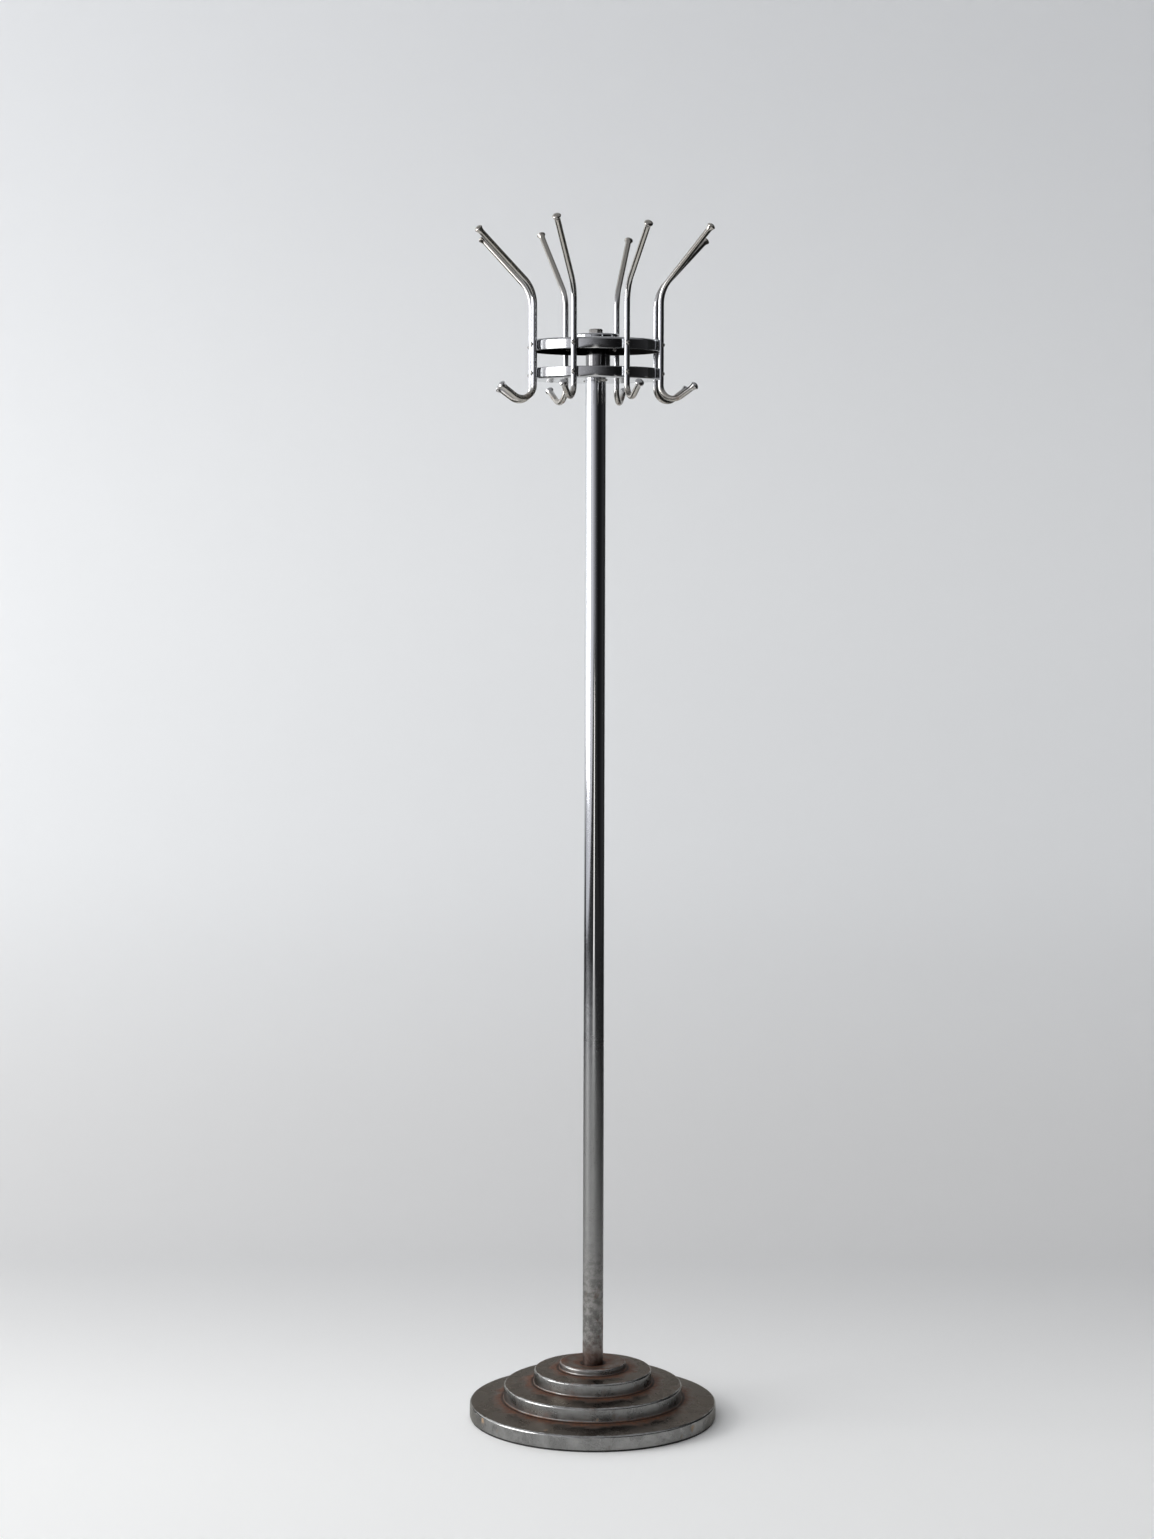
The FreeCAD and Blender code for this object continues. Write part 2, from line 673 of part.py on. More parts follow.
def add_tip(body, name, s, x, z, lean):
    """The upset tip on a rod's end at (x, z), which leans from upright by lean degrees."""
    rod, tip = s["rod_radius"], s["tip_radius"]
    flare, land, dome = s["tip_flare"], s["tip_land"], s["tip_dome"]
    spread, run = tip - rod, flare - land
    flare_round = (spread * spread + run * run) / (spread * 2)
    dome_round = (tip * tip + dome * dome) / (dome * 2)
    crown = flare + dome
    sketch = new_sketch(body, f"{name}_tip_outline", "XZ_Plane")
    sketch.AttachmentOffset = Placement(Vector(1, 1, 0), Rotation(Vector(0, 0, 1), -lean.value))
    bind(sketch, {"AttachmentOffset.Base.x": x, "AttachmentOffset.Base.y": z})
    sketch.setExpression("AttachmentOffset.Rotation.Angle", (ZERO - lean).degrees())
    outline = [(ZERO, ZERO), (rod, ZERO), (tip, run), (tip, flare), (ZERO, crown)]
    draw_chain(sketch, outline, {
        1: (flare_round, (rod + flare_round, ZERO)),
        3: (dome_round, (ZERO, crown - dome_round)),
    })
    revolve(body, f"{name}_tip", sketch)


def bore_rod(body, name, s, radius, height, turn, start, length):
    """Bore the shank across its axis, along the rivet's direction, from start outwards."""
    sketch = new_sketch(body, name, "YZ_Plane")
    sketch.AttachmentOffset = Placement(Vector(0, 0, 1), Rotation(Vector(0, 1, 0), -turn.value))
    bind(sketch, {
        "AttachmentOffset.Base.x": ZERO - start * sine(turn),
        "AttachmentOffset.Base.z": start * cosine(turn),
    })
    sketch.setExpression("AttachmentOffset.Rotation.Angle", (ZERO - turn).degrees())
    draw_circle(sketch, radius, ZERO, height)
    pocket = body.newObject("PartDesign::Pocket", f"{name}_bore")
    pocket.Profile = sketch
    pocket.Reversed = True
    bind(pocket, {"Length": length})


def make_rod(doc, s, number):
    """One rod in its own upright plane: hook and tail below, shank, elbow and arm above."""
    levels = head_levels(s)
    lean, turn, reach = (s[f"{word}_{number}"] for word in ("lean", "turn", "reach"))
    rod, middle = s["rod_radius"], levels["middle"]
    body = new_body(doc, f"hook_{number}")

    corner = levels["upper_top"] + s["elbow_height"]
    bend, arm_end = s["elbow_round"] * tangent(lean / 2), reach - s["tip_flare"]
    arm_x, arm_z = arm_end * sine(lean), corner + arm_end * cosine(lean)
    sweep_rod(body, f"hook_{number}_upper", s, middle, [
        (ZERO, middle),
        (ZERO, corner - bend),
        (bend * sine(lean), corner + bend * cosine(lean)),
        (arm_x, arm_z),
    ], {1: (s["elbow_round"], (s["elbow_round"], corner - bend))})

    curl, rise = s["hook_round"], s["tail_rise"]
    curl_z = levels["lower_floor"] - s["hook_drop"] + curl
    bend_x, bend_z = curl + curl * sine(rise), curl_z - curl * cosine(rise)
    tail = s["tail_length"] - s["tip_flare"]
    tail_x, tail_z = bend_x + tail * cosine(rise), bend_z + tail * sine(rise)
    sweep_rod(body, f"hook_{number}_lower", s, middle, [
        (ZERO, middle),
        (ZERO, curl_z),
        (bend_x, bend_z),
        (tail_x, tail_z),
    ], {1: (curl, (curl, curl_z))})

    add_tip(body, f"hook_{number}_arm", s, arm_x, arm_z, lean)
    add_tip(body, f"hook_{number}_tail", s, tail_x, tail_z, Size("90", 90.0) - rise)

    hole, seat = s["rivet_radius"] + s["fit"], s["rivet_head_radius"] + s["fit"]
    thickness, seat_start = rod * 2, rod - s["rivet_seat"]
    for name, height in levels["rivets"].items():
        bore_rod(body, f"hook_{number}_{name}_hole", s, hole, height, turn, ZERO - thickness, thickness * 2)
        bore_rod(body, f"hook_{number}_{name}_seat", s, seat, height, turn, seat_start, rod)

    place_rod(body, s, number, turn)


def place_rod(body, s, number, turn):
    """Stand a rod against the rims at its own place round the head."""
    circle = s["pan_radius"] + s["rod_gap"] + s["rod_radius"]
    angle = Size(str(ROD_STEP * (number - 1)), ROD_STEP * (number - 1))
    facing = angle + turn
    body.Placement = Placement(Vector(), Rotation(Vector(0, 0, 1), facing.value))
    bind(body, {
        "Placement.Base.x": circle * cosine(angle),
        "Placement.Base.y": circle * sine(angle),
    })
    body.setExpression("Placement.Rotation.Axis.z", "1")
    body.setExpression("Placement.Rotation.Angle", facing.degrees())


def make_rivets(doc, s, name, height):
    """The eight rivets through one pan's rim and the rods, each a solid of its own."""
    rim = s["pan_radius"]
    inner = rim - s["pan_sheet"]
    outer = rim + s["rod_gap"] + s["rod_radius"] * 2 - s["rivet_seat"]
    shank, head = s["rivet_radius"], s["rivet_head_radius"]
    dome = s["rivet_head"]
    dome_round = (head * head + dome * dome) / (dome * 2)
    crown = outer + dome
    # The closed end is flat, so it stands off the round rim by the rim's sagitta over the end's width.
    closed = inner - head * head / (inner * 2)
    body = new_body(doc, f"{name}_rivets")
    sketch = new_sketch(body, f"{name}_rivet_outline", "XZ_Plane")
    draw_chain(sketch, [
        (closed - s["rivet_tail"], ZERO),
        (closed - s["rivet_tail"], head),
        (closed, head),
        (closed, shank),
        (outer, shank),
        (outer, head),
        (crown, ZERO),
    ], {5: (dome_round, (crown - dome_round, ZERO))})
    rivet = revolve(body, f"{name}_rivet", sketch, "H_Axis")
    round_pattern(body, f"{name}_rivet_ring", rivet, ROD_COUNT)
    bind(body, {"Placement.Base.z": height})


# ---------------------------------------------------------------- build and write

NODES = [
    "base_casting", "base_floor_ring", "base_bolt", "base_washer", "base_lock_washer",
    "pole_tube", "pole_lower_plug", "pole_upper_plug",
    "lower_pan", "upper_pan", "pan_screws", "head_spacer", "top_cap", "top_lock_washer", "top_bolt",
    "upper_rivets", "lower_rivets",
] + [f"hook_{number}" for number in range(1, ROD_COUNT + 1)]


def build(doc):
    s = make_sheet(doc)
    make_foot(doc, s)
    make_floor_ring(doc, s)
    make_pole(doc, s)
    make_pans(doc, s)
    make_pan_screws(doc, s)
    make_spacer(doc, s)
    make_cap(doc, s)
    make_fasteners(doc, s)
    for number in range(1, ROD_COUNT + 1):
        make_rod(doc, s, number)
    for name, height in head_levels(s)["rivets"].items():
        make_rivets(doc, s, name, height)
    doc.recompute()


def check(doc):
    """Stop if any object failed, or any sub-part has no valid shape."""
    for item in doc.Objects:
        if "Invalid" in item.State or "Error" in item.State:
            raise RuntimeError(f"{item.Name} is {item.State}")
    for label in NODES:
        shape = doc.getObjectsByLabel(label)[0].Shape
        if shape.isNull() or not shape.isValid() or not shape.Solids:
            raise RuntimeError(f"{label} has no valid shape")


def write(doc):
    os.makedirs("parts", exist_ok=True)
    for label in NODES:
        doc.getObjectsByLabel(label)[0].Shape.exportStep(f"parts/{label}.step")


document = FreeCAD.newDocument("coat_rack")
build(document)
check(document)
write(document)
for label in NODES:
    shape = document.getObjectsByLabel(label)[0].Shape
    print(f"{label}: {len(shape.Solids)} solid(s), {shape.Volume:.0f} mm3")
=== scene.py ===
"""Standing coat rack: worn chrome and iron surfaces around its fixed frame, and the studio it stands in."""

import math

import bpy
import numpy as np
from bpy.props import FloatProperty, FloatVectorProperty, PointerProperty
from mathutils import Matrix, Vector


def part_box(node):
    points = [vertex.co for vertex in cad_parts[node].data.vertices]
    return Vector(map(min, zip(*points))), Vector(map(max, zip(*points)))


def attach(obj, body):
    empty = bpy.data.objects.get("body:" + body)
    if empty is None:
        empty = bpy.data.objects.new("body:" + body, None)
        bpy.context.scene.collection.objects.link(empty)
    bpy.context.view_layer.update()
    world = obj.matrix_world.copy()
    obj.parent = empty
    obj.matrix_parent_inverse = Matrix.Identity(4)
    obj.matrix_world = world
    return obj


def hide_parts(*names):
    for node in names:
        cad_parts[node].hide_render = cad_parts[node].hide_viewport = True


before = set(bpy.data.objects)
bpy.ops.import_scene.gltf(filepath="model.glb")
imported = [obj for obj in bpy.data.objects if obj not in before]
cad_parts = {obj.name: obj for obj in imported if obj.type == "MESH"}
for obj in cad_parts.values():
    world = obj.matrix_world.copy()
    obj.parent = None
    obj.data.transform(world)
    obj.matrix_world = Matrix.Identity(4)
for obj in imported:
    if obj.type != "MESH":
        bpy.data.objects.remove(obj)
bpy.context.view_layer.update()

bl_info = {
    "name": "Standing Coat Rack",
    "version": (1, 0, 0),
    "blender": (4, 5, 0),
    "location": "View3D > Sidebar > Coat Rack",
    "description": "Builds the coat rack's worn metal surfaces around its frame, and a studio for it",
    "category": "Object",
}

BODY = "root"
MM = 0.001

# The rods are bent by hand: each arm's lean from upright and its turn about the shank, in degrees, and
# its length in millimetres.
ROD_BENDS = [
    (40, -0.5, 109),
    (46, 3, 110),
    (42.5, 5.5, 114.5),
    (39.5, 1.5, 117),
    (44, -3, 105.5),
    (46.5, -1.5, 112.5),
    (42.5, 1.5, 115.5),
    (46, -7, 110.5),
]


# ---------------------------------------------------------------- readings from the frame

def low_of(node):
    """Height of a node's lowest point."""
    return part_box(node)[0].z


def high_of(node):
    """Height of a node's highest point."""
    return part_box(node)[1].z


def middle_of(node):
    """Height of a node's middle."""
    return (low_of(node) + high_of(node)) / 2


def radius_of(node):
    """Outside radius of a round node that is centred on the pole."""
    low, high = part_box(node)
    return (high.x - low.x) / 2


# ---------------------------------------------------------------- settings

def a_length(name, default, description):
    """A property for a length in metres."""
    return FloatProperty(name=name, description=description, default=default, min=0.0,
                         precision=5, unit="LENGTH")


def an_angle(name, degrees, description):
    """A property for an angle, whose default is given in degrees."""
    return FloatProperty(name=name, description=description, default=math.radians(degrees),
                         unit="ROTATION", subtype="ANGLE")


def an_amount(name, default, description):
    """A property for a plain number that isn't below nought."""
    return FloatProperty(name=name, description=description, default=default, min=0.0)


def a_colour(name, default, description):
    """A property for a colour."""
    return FloatVectorProperty(name=name, description=description, default=default, size=3,
                               min=0.0, max=1.0, subtype="COLOR")


class FootSizes(bpy.types.PropertyGroup):
    """Sizes of the cast foot"""
    tier_radii: FloatVectorProperty(
        name="Tier radii", description="Radius of each round tier, widest first", size=4, unit="LENGTH",
        default=(radius_of("base_casting"), 0.124, 0.082, 0.0462))
    tier_edges: FloatVectorProperty(
        name="Tier edges", description="Height of each tier's top edge", size=4, unit="LENGTH",
        default=(0.022, 0.0459, 0.0669, high_of("base_casting")))
    tier_rises: FloatVectorProperty(
        name="Tier rises", description="Rise of each tier's top towards the pole, below nought if it falls",
        size=4, unit="LENGTH", default=(0.0046, 0.003, 0.0016, -0.0035))
    edge_round: a_length("Edge rounding", 0.0032, "Rounding of the tiers' top edges")
    crease_round: a_length("Crease rounding", 0.0022, "Cove where a tier meets the next")
    shell: a_length("Shell", 0.009, "Thickness of the cast shell")
    hub_radius: a_length("Hub radius", 0.027, "Hub inside the foot that holds the pole")
    hub_clearance: a_length("Hub clearance", 0.016, "Height of the hub's underside")
    socket_depth: a_length("Socket depth", 0.034, "Depth of the pole's socket")
    bolt_hole: a_length("Bolt hole", 0.0055, "Radius of the bolt's hole through the hub")
    unevenness: a_length("Unevenness", 0.00025, "How far the casting wanders from round")


class HeadSizes(bpy.types.PropertyGroup):
    """Sizes of the pole's wall, the pans, the cap, the bolt and the screws"""
    pole_wall: a_length("Pole wall", 0.00165, "Wall of the pole's tube")
    pan_sheet: a_length("Pan sheet", 0.002, "Sheet thickness of both pans")
    pan_round: a_length("Pan rounding", 0.003, "Outside rounding of the pans' bent edge")
    pan_crown: a_length("Pan crown", 0.0006, "How far the pans' rims bulge at mid height")
    pan_lip: a_length("Pan lip", 0.0009, "Rounding of the pans' open edge")
    spacer_wall: a_length("Spacer wall", 0.0034, "Wall of the spacer tube")
    cap_sheet: a_length("Cap sheet", 0.0015, "Sheet thickness of the cap")
    cap_round: a_length("Cap rounding", 0.0026, "Outside rounding of the cap's edge")
    cap_dish_radius: a_length("Cap dish radius", 0.019, "Radius of the cap's sunk middle")
    cap_dish_depth: a_length("Cap dish depth", 0.0025, "Depth of the cap's sunk middle")
    bolt_hole: a_length("Bolt hole", 0.0055, "Radius of the bolt's hole in the cap and the upper pan")
    bolt_shank: a_length("Bolt shank", 0.005, "Radius of the bolt's shank")
    bolt_across_flats: a_length("Bolt head width", 0.017, "Width of the bolt's head across its flats")
    bolt_head: a_length("Bolt head height", 0.0072, "Height of the bolt's head")
    lock_washer_slit: a_length("Lock washer slit", 0.0015, "Width of the slit in the lock washer")
    screw_shank: a_length("Pan screw shank", 0.0025, "Radius of the pan screws' shanks")
    screw_dome: a_length("Pan screw dome", 0.003, "Height of the pan screws' heads")
    screw_turn: an_angle("Pan screw direction", 318.5, "Direction of the first pan screw")
    screw_circle: a_length("Pan screw circle", 0.022, "Radius of the pan screws' circle")
    screw_head: a_length("Pan screw head", 0.0058, "Radius of the pan screws' heads")
    screw_slot: a_length("Pan screw slot", 0.0014, "Width and depth of the slot in the pan screws' heads")


class RodSizes(bpy.types.PropertyGroup):
    """Sizes of the rods and their rivets"""
    rod_radius: a_length("Rod radius", 0.00397, "Radius of the rods")
    rod_gap: a_length("Rod gap", 0.00005, "Gap between a rod and the pans' rims")
    elbow_height: a_length("Elbow height", 0.0655, "From the upper pan's top to the elbow's corner")
    elbow_round: a_length("Elbow bend", 0.048, "Radius of the elbow's centreline")
    hook_drop: a_length("Hook drop", 0.0255, "From the lower pan's underside to the hook's centreline")
    hook_round: a_length("Hook bend", 0.018, "Radius of the hook's centreline")
    tail_rise: an_angle("Tail rise", 35, "Angle of the hook's tail above level")
    tail_length: a_length("Tail length", 0.0245, "Straight length of the hook's tail with its tip")
    tip_radius: a_length("Tip radius", 0.0059, "Largest radius of the upset tips")
    tip_flare: a_length("Tip flare", 0.0075, "Length of the tips' flare")
    tip_land: a_length("Tip land", 0.0008, "Height of the tips' upright edge")
    tip_dome: a_length("Tip dome", 0.003, "Height of the tips' dome")
    rivet_shank: a_length("Rivet shank", 0.0016, "Radius of the rivets' shanks")
    rivet_head_radius: a_length("Rivet head radius", 0.0029, "Radius of the rivets' heads")
    rivet_head: a_length("Rivet head height", 0.0023, "Height of the rivets' outer heads")
    rivet_seat: a_length("Rivet seat", 0.0008, "Depth of the flat that a rivet's head sits on")
    rivet_tail: a_length("Rivet tail", 0.0012, "Height of the rivets' closed ends inside the rim")


class MetalColours(bpy.types.PropertyGroup):
    """Colours of the metals, rust and dirt, and of the painted shade in the pans, on the spacer and in the
    foot's creases
    """
    chrome: a_colour("Chrome", (0.66, 0.67, 0.69), "Bright plating")
    tired_chrome: a_colour("Tired chrome", (0.34, 0.34, 0.335), "Plating that has gone hazy")
    dull_foot: a_colour("Dull pole foot", (0.34, 0.33, 0.315), "Plating gone grey at the pole's foot")
    warm_chrome: a_colour("Warm chrome", (0.46, 0.425, 0.365), "Plating that has yellowed on the rods")
    nickel: a_colour("Nickel", (0.36, 0.35, 0.33), "Worn nickel of the screws, rivets and bolt")
    iron: a_colour("Plated iron", (0.33, 0.328, 0.32), "Dull plating on the cast foot")
    bare_edge: a_colour("Polished edge", (0.47, 0.47, 0.46), "Plating rubbed bright along the edges")
    settled: a_colour("Settled dirt", (0.095, 0.078, 0.066), "Brown film on the foot's level faces")
    steel: a_colour("Plain steel", (0.36, 0.35, 0.34), "Unplated steel inside the rack")
    rust: a_colour("Rust", (0.105, 0.037, 0.016), "Rust in the creases")
    pale_rust: a_colour("Pale rust", (0.20, 0.085, 0.040), "Dry rust round the darker spots")
    # Dark dirt in pits; on the spacer tube the same colour is painted shade
    grime_and_shade: a_colour("Grime", (0.035, 0.03, 0.026), "Old dirt in the corners and on the hooks")
    # Painted shade: near black put on the pans' inner faces and in the cores of the foot's creases, where
    # shadow falls
    cavity_shade: a_colour("Soot", (0.006, 0.006, 0.006), "Black dirt inside the pans and in the foot's creases")
    chip: a_colour("Chip", (0.36, 0.25, 0.16), "Bare ground where the foot's plating has chipped")
    ring: a_colour("Floor ring", (0.012, 0.012, 0.012), "Black ring under the foot")


class StudioSettings(bpy.types.PropertyGroup):
    """The camera, the floor and wall, and the lights"""
    azimuth: an_angle("Camera azimuth", 18.226, "Direction of the camera round the pole")
    distance: a_length("Camera distance", 4.1154, "From the pole to the camera, level")
    height: a_length("Camera height", 1.22827, "Height of the camera")
    yaw: an_angle("Camera yaw", -0.3341, "How far the camera looks past the pole")
    tilt: an_angle("Camera tilt", 4.507, "How far the camera looks down")
    roll: an_angle("Camera roll", 0.138, "How far the camera leans")
    lens: an_amount("Lens", 70.387, "Focal length in millimetres")
    wall_distance: a_length("Wall distance", 1.35, "From the pole to the wall behind it")
    cove: a_length("Cove", 0.45, "Radius of the cove between floor and wall")
    wall: a_colour("Wall", (0.84, 0.85, 0.86), "Wall behind the rack")
    # Painted shade: the wall's paint darkens towards its top
    shaded_wall_top: a_colour("Wall top", (0.73, 0.74, 0.755), "Wall above the rack")
    cove_shade: a_colour("Cove shade", (0.71, 0.71, 0.71), "Floor where it turns up into the wall")
    floor: a_colour("Floor", (1.0, 1.0, 0.99), "Floor in front of the rack")
    window_power: an_amount("Window power", 150.0, "Soft light from the left, in watts")
    doorway_power: an_amount("Doorway power", 1.7, "Narrow low light in front, in watts")
    fill: an_amount("Room light", 0.67, "Brightness of the room's even light")


class CoatRackSettings(bpy.types.PropertyGroup):
    """All the settings of the coat rack"""
    foot: PointerProperty(type=FootSizes)
    head: PointerProperty(type=HeadSizes)
    rods: PointerProperty(type=RodSizes)
    colours: PointerProperty(type=MetalColours)
    studio: PointerProperty(type=StudioSettings)


def settings():
    """The rack's sizes, colours and studio, as the panel shows them."""
    return bpy.context.scene.coat_rack


# ---------------------------------------------------------------- surfaces

PIN = 0.0001            # radius of the smallest ring round the middle of a closed end


def tube_faces(rows, columns, closed):
    """Quads between successive rings, numbered row by row. A closed tube's last ring joins its first."""
    index = np.arange(rows * columns).reshape(rows, columns)
    beside = np.roll(index, -1, axis=1)
    above, beyond = np.roll(index, -1, axis=0), np.roll(beside, -1, axis=0)
    quads = np.stack([index, beside, beyond, above], axis=-1)
    return (quads if closed else quads[:-1]).reshape(-1, 4)


def ring_surface(rings):
    """Points and faces of rings whose last joins the first, as round a section with a hole through it."""
    rows, columns = rings.shape[:2]
    return rings.reshape(-1, 3), tube_faces(rows, columns, True).tolist()


def capped_surface(rings, first, last):
    """Points and faces of rings closed at both ends by a fan of triangles to the points first and last."""
    rows, columns = rings.shape[:2]
    index = np.arange(rows * columns).reshape(rows, columns)
    low, high = np.full(columns, rows * columns), np.full(columns, rows * columns + 1)
    bottom = np.stack([np.roll(index[0], -1), index[0], low], axis=-1)
    top = np.stack([index[-1], np.roll(index[-1], -1), high], axis=-1)
    points = np.concatenate([rings.reshape(-1, 3), [first], [last]])
    faces = tube_faces(rows, columns, False).tolist() + bottom.tolist() + top.tolist()
    return points, faces


def unit(vectors):
    """Vectors shortened or stretched to a length of one."""
    return vectors / np.linalg.norm(vectors, axis=-1, keepdims=True)


def corner_arc(before, corner, after, rounding, steps):
    """Points of the arc that rounds a corner and touches both of its sides.

    The arc's centre is rounding / sin(half the corner's angle) along the corner's bisector, and its
    points turn evenly from one touching point to the other.
    """
    if rounding == 0:
        return corner[None]
    back, ahead = unit(before - corner), unit(after - corner)
    half = math.acos(np.clip(back @ ahead, -1, 1)) / 2
    centre = corner + unit(back + ahead) * rounding / math.sin(half)
    first = corner + back * rounding / math.tan(half) - centre
    last = corner + ahead * rounding / math.tan(half) - centre
    sweep = math.pi - 2 * half
    turn = np.linspace(0, sweep, steps + 1)[:, None]
    return centre + (np.sin(sweep - turn) * first + np.sin(turn) * last) / math.sin(sweep)


def fill_runs(outline, support, longest):
    """Divide an outline's straight runs, so that shading changes only beside the corners.

    Each gets a short run of length support at both ends, and even runs no longer than longest between.
    """
    filled = []
    for start, end in zip(outline[:-1], outline[1:]):
        run = np.linalg.norm(end - start)
        if run > 3 * support:
            count = max(2, math.ceil((run - 2 * support) / longest) + 1)
            inner = np.linspace(support / run, 1 - support / run, count)
            shares = np.concatenate([[0], inner])
        else:
            shares = np.array([0.0])
        filled.append(start + (end - start) * shares[:, None])
    return np.concatenate(filled + [outline[-1:]])


def rounded_outline(corners, closed, steps=7, support=0.0005, longest=0.02):
    """An outline of (radius, height) points through (radius, height, rounding) corners."""
    places = np.array([corner[:2] for corner in corners], float)
    roundings = [corner[2] for corner in corners]
    count = len(corners)
    parts = []
    for index in range(count):
        if closed or 0 < index < count - 1:
            before, after = places[index - 1], places[(index + 1) % count]
            parts.append(corner_arc(before, places[index], after, roundings[index], steps))
        else:
            parts.append(places[index][None])
    outline = np.concatenate(parts)
    if closed:
        return fill_runs(np.concatenate([outline, outline[:1]]), support, longest)[:-1]
    return fill_runs(outline, support, longest)


def turned_rings(outline, columns, centre=(0.0, 0.0)):
    """Rings of an outline turned about an upright axis: x = r cos a, y = r sin a from the centre."""
    angle = np.linspace(0, 2 * math.pi, columns, endpoint=False)
    radius, height = outline[:, :1], outline[:, 1:]
    return np.stack([
        centre[0] + radius * np.cos(angle),
        centre[1] + radius * np.sin(angle),
        height + 0 * angle,
    ], axis=-1)


def flat_path(start, heading, stretches, distances):
    """Points (x, z) and headings along a flat path of straight and evenly bent stretches.

    Each stretch is (length, turn). The heading changes in proportion to the distance, so a bend of
    curvature k = turn / length runs x = x0 + (sin h - sin h0) / k and z = z0 - (cos h - cos h0) / k.
    """
    points = np.zeros((len(distances), 2))
    headings = np.zeros(len(distances))
    place, done = np.array(start, float), 0.0
    for run, turn in stretches:
        here = distances >= done
        along = np.clip(distances[here] - done, 0, run)
        points[here], headings[here] = stretch_points(place, heading, run, turn, along)
        place = stretch_points(place, heading, run, turn, np.array([run]))[0][0]
        heading += turn
        done += run
    return points, headings


def stretch_points(place, heading, run, turn, along):
    """Points and headings at distances along one stretch that starts at place."""
    now = heading + turn * along / run
    if turn == 0:
        step = along[:, None] * np.array([math.cos(heading), math.sin(heading)])
    else:
        bend = run / turn
        step = bend * np.stack([np.sin(now) - math.sin(heading), math.cos(heading) - np.cos(now)], axis=-1)
    return place + step, now


def smooth_noise(angle, height, waves, seed):
    """A gentle wander between about -1 and 1: a sum of sines of the angle and height with set phases."""
    draw = np.random.default_rng(seed)
    total = np.zeros(np.broadcast(angle, height).shape)
    for wave in range(2, waves + 2):
        phase, climb = draw.uniform(0, 2 * math.pi), draw.uniform(-90, 90)
        total = total + np.sin(wave * angle + climb * height + phase) / math.sqrt(wave)
    return total / math.sqrt(waves)


def add_piece(name, surface, slot, replaces, marks=None):
    """Put a surface into a mesh of its own, with its slot's finish, and place it in the frame.

    Marks are values for each point, which the finish reads as attributes.
    """
    points, faces = surface
    mesh = bpy.data.meshes.new(name)
    mesh.from_pydata(points.tolist(), [], faces)
    mesh.shade_smooth()
    for mark, values in (marks or {}).items():
        attribute = mesh.attributes.new(mark, "FLOAT", "POINT")
        attribute.data.foreach_set("value", np.ascontiguousarray(values, np.float32).ravel())
    mesh.materials.append(finish_of(slot))
    mesh.update()
    piece = bpy.data.objects.new(name, mesh)
    bpy.context.scene.collection.objects.link(piece)
    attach(piece, BODY)
    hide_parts(*replaces)
    return piece


def joined(surfaces):
    """Several surfaces as one set of points and faces."""
    points, faces, start = [], [], 0
    for some_points, some_faces in surfaces:
        points.append(some_points)
        faces += [[number + start for number in face] for face in some_faces]
        start += len(some_points)
    return np.concatenate(points), faces


# ---------------------------------------------------------------- nodes

def add_node(tree, kind, options=None, **inputs):
    """Add a node, set its options, and fill its inputs, named with _ for spaces, with values or links."""
    node = tree.nodes.new(kind)
    for option, value in (options or {}).items():
        setattr(node, option, value)
    for name, value in inputs.items():
        fill_socket(tree, node.inputs[name.replace("_", " ")], value)
    return node


def fill_socket(tree, socket, value):
    """Link a socket to another node's output, or set its value."""
    if isinstance(value, bpy.types.NodeSocket):
        tree.links.new(value, socket)
    else:
        socket.default_value = value


def maths(tree, operation, first, second, clamp=False):
    """One sum, on numbers or links. Clamped, it stays between nought and one."""
    node = tree.nodes.new("ShaderNodeMath")
    node.operation = operation
    node.use_clamp = clamp
    fill_socket(tree, node.inputs[0], first)
    fill_socket(tree, node.inputs[1], second)
    return node.outputs[0]


def raised(tree, base, mask, amount, clamp=False):
    """A base number with a share of a mask on top: base + amount * mask."""
    return maths(tree, "ADD", base, maths(tree, "MULTIPLY", mask, amount), clamp)


def blend(tree, factor, first, second):
    """Mix two colours."""
    node = tree.nodes.new("ShaderNodeMix")
    node.data_type = "RGBA"
    fill_socket(tree, node.inputs["Factor"], factor)
    fill_socket(tree, node.inputs[6], opaque(first))
    fill_socket(tree, node.inputs[7], opaque(second))
    return node.outputs[2]


def opaque(value):
    """A three-part colour with an alpha of one, or a socket as it is."""
    return value if isinstance(value, bpy.types.NodeSocket) else (*value, 1.0)


def fade(tree, value, low, high, low_result=0.0, high_result=1.0):
    """A smooth step from low_result at low to high_result at high."""
    options = {"interpolation_type": "SMOOTHSTEP"}
    node = add_node(tree, "ShaderNodeMapRange", options, Value=value)
    if low > high:
        low, high, low_result, high_result = high, low, high_result, low_result
    ends = {"From Min": low, "From Max": high, "To Min": low_result, "To Max": high_result}
    for name, number in ends.items():
        node.inputs[name].default_value = number
    return node.outputs["Result"]


def noise(tree, vector, scale, detail=4.0, roughness=0.55, distortion=0.0):
    """Smooth noise between nought and one."""
    node = add_node(tree, "ShaderNodeTexNoise", Vector=vector, Scale=scale, Detail=detail,
                    Roughness=roughness, Distortion=distortion)
    return node.outputs["Fac"]


def stretched(tree, vector, x, y, z):
    """Coordinates scaled by a share of their own along each axis."""
    node = add_node(tree, "ShaderNodeMapping", Vector=vector)
    node.inputs["Scale"].default_value = (x, y, z)
    return node.outputs["Vector"]


def effect_group(name, inputs, outputs):
    """A new shader node group with named float inputs and outputs, and a Vector input."""
    group = bpy.data.node_groups.new(name, "ShaderNodeTree")
    group.interface.new_socket(name="Vector", in_out="INPUT", socket_type="NodeSocketVector")
    for socket_name, default in inputs:
        socket = group.interface.new_socket(name=socket_name, in_out="INPUT", socket_type="NodeSocketFloat")
        socket.default_value = default
    for socket_name in outputs:
        group.interface.new_socket(name=socket_name, in_out="OUTPUT", socket_type="NodeSocketFloat")
    return group, group.nodes.new("NodeGroupInput").outputs, group.nodes.new("NodeGroupOutput").inputs


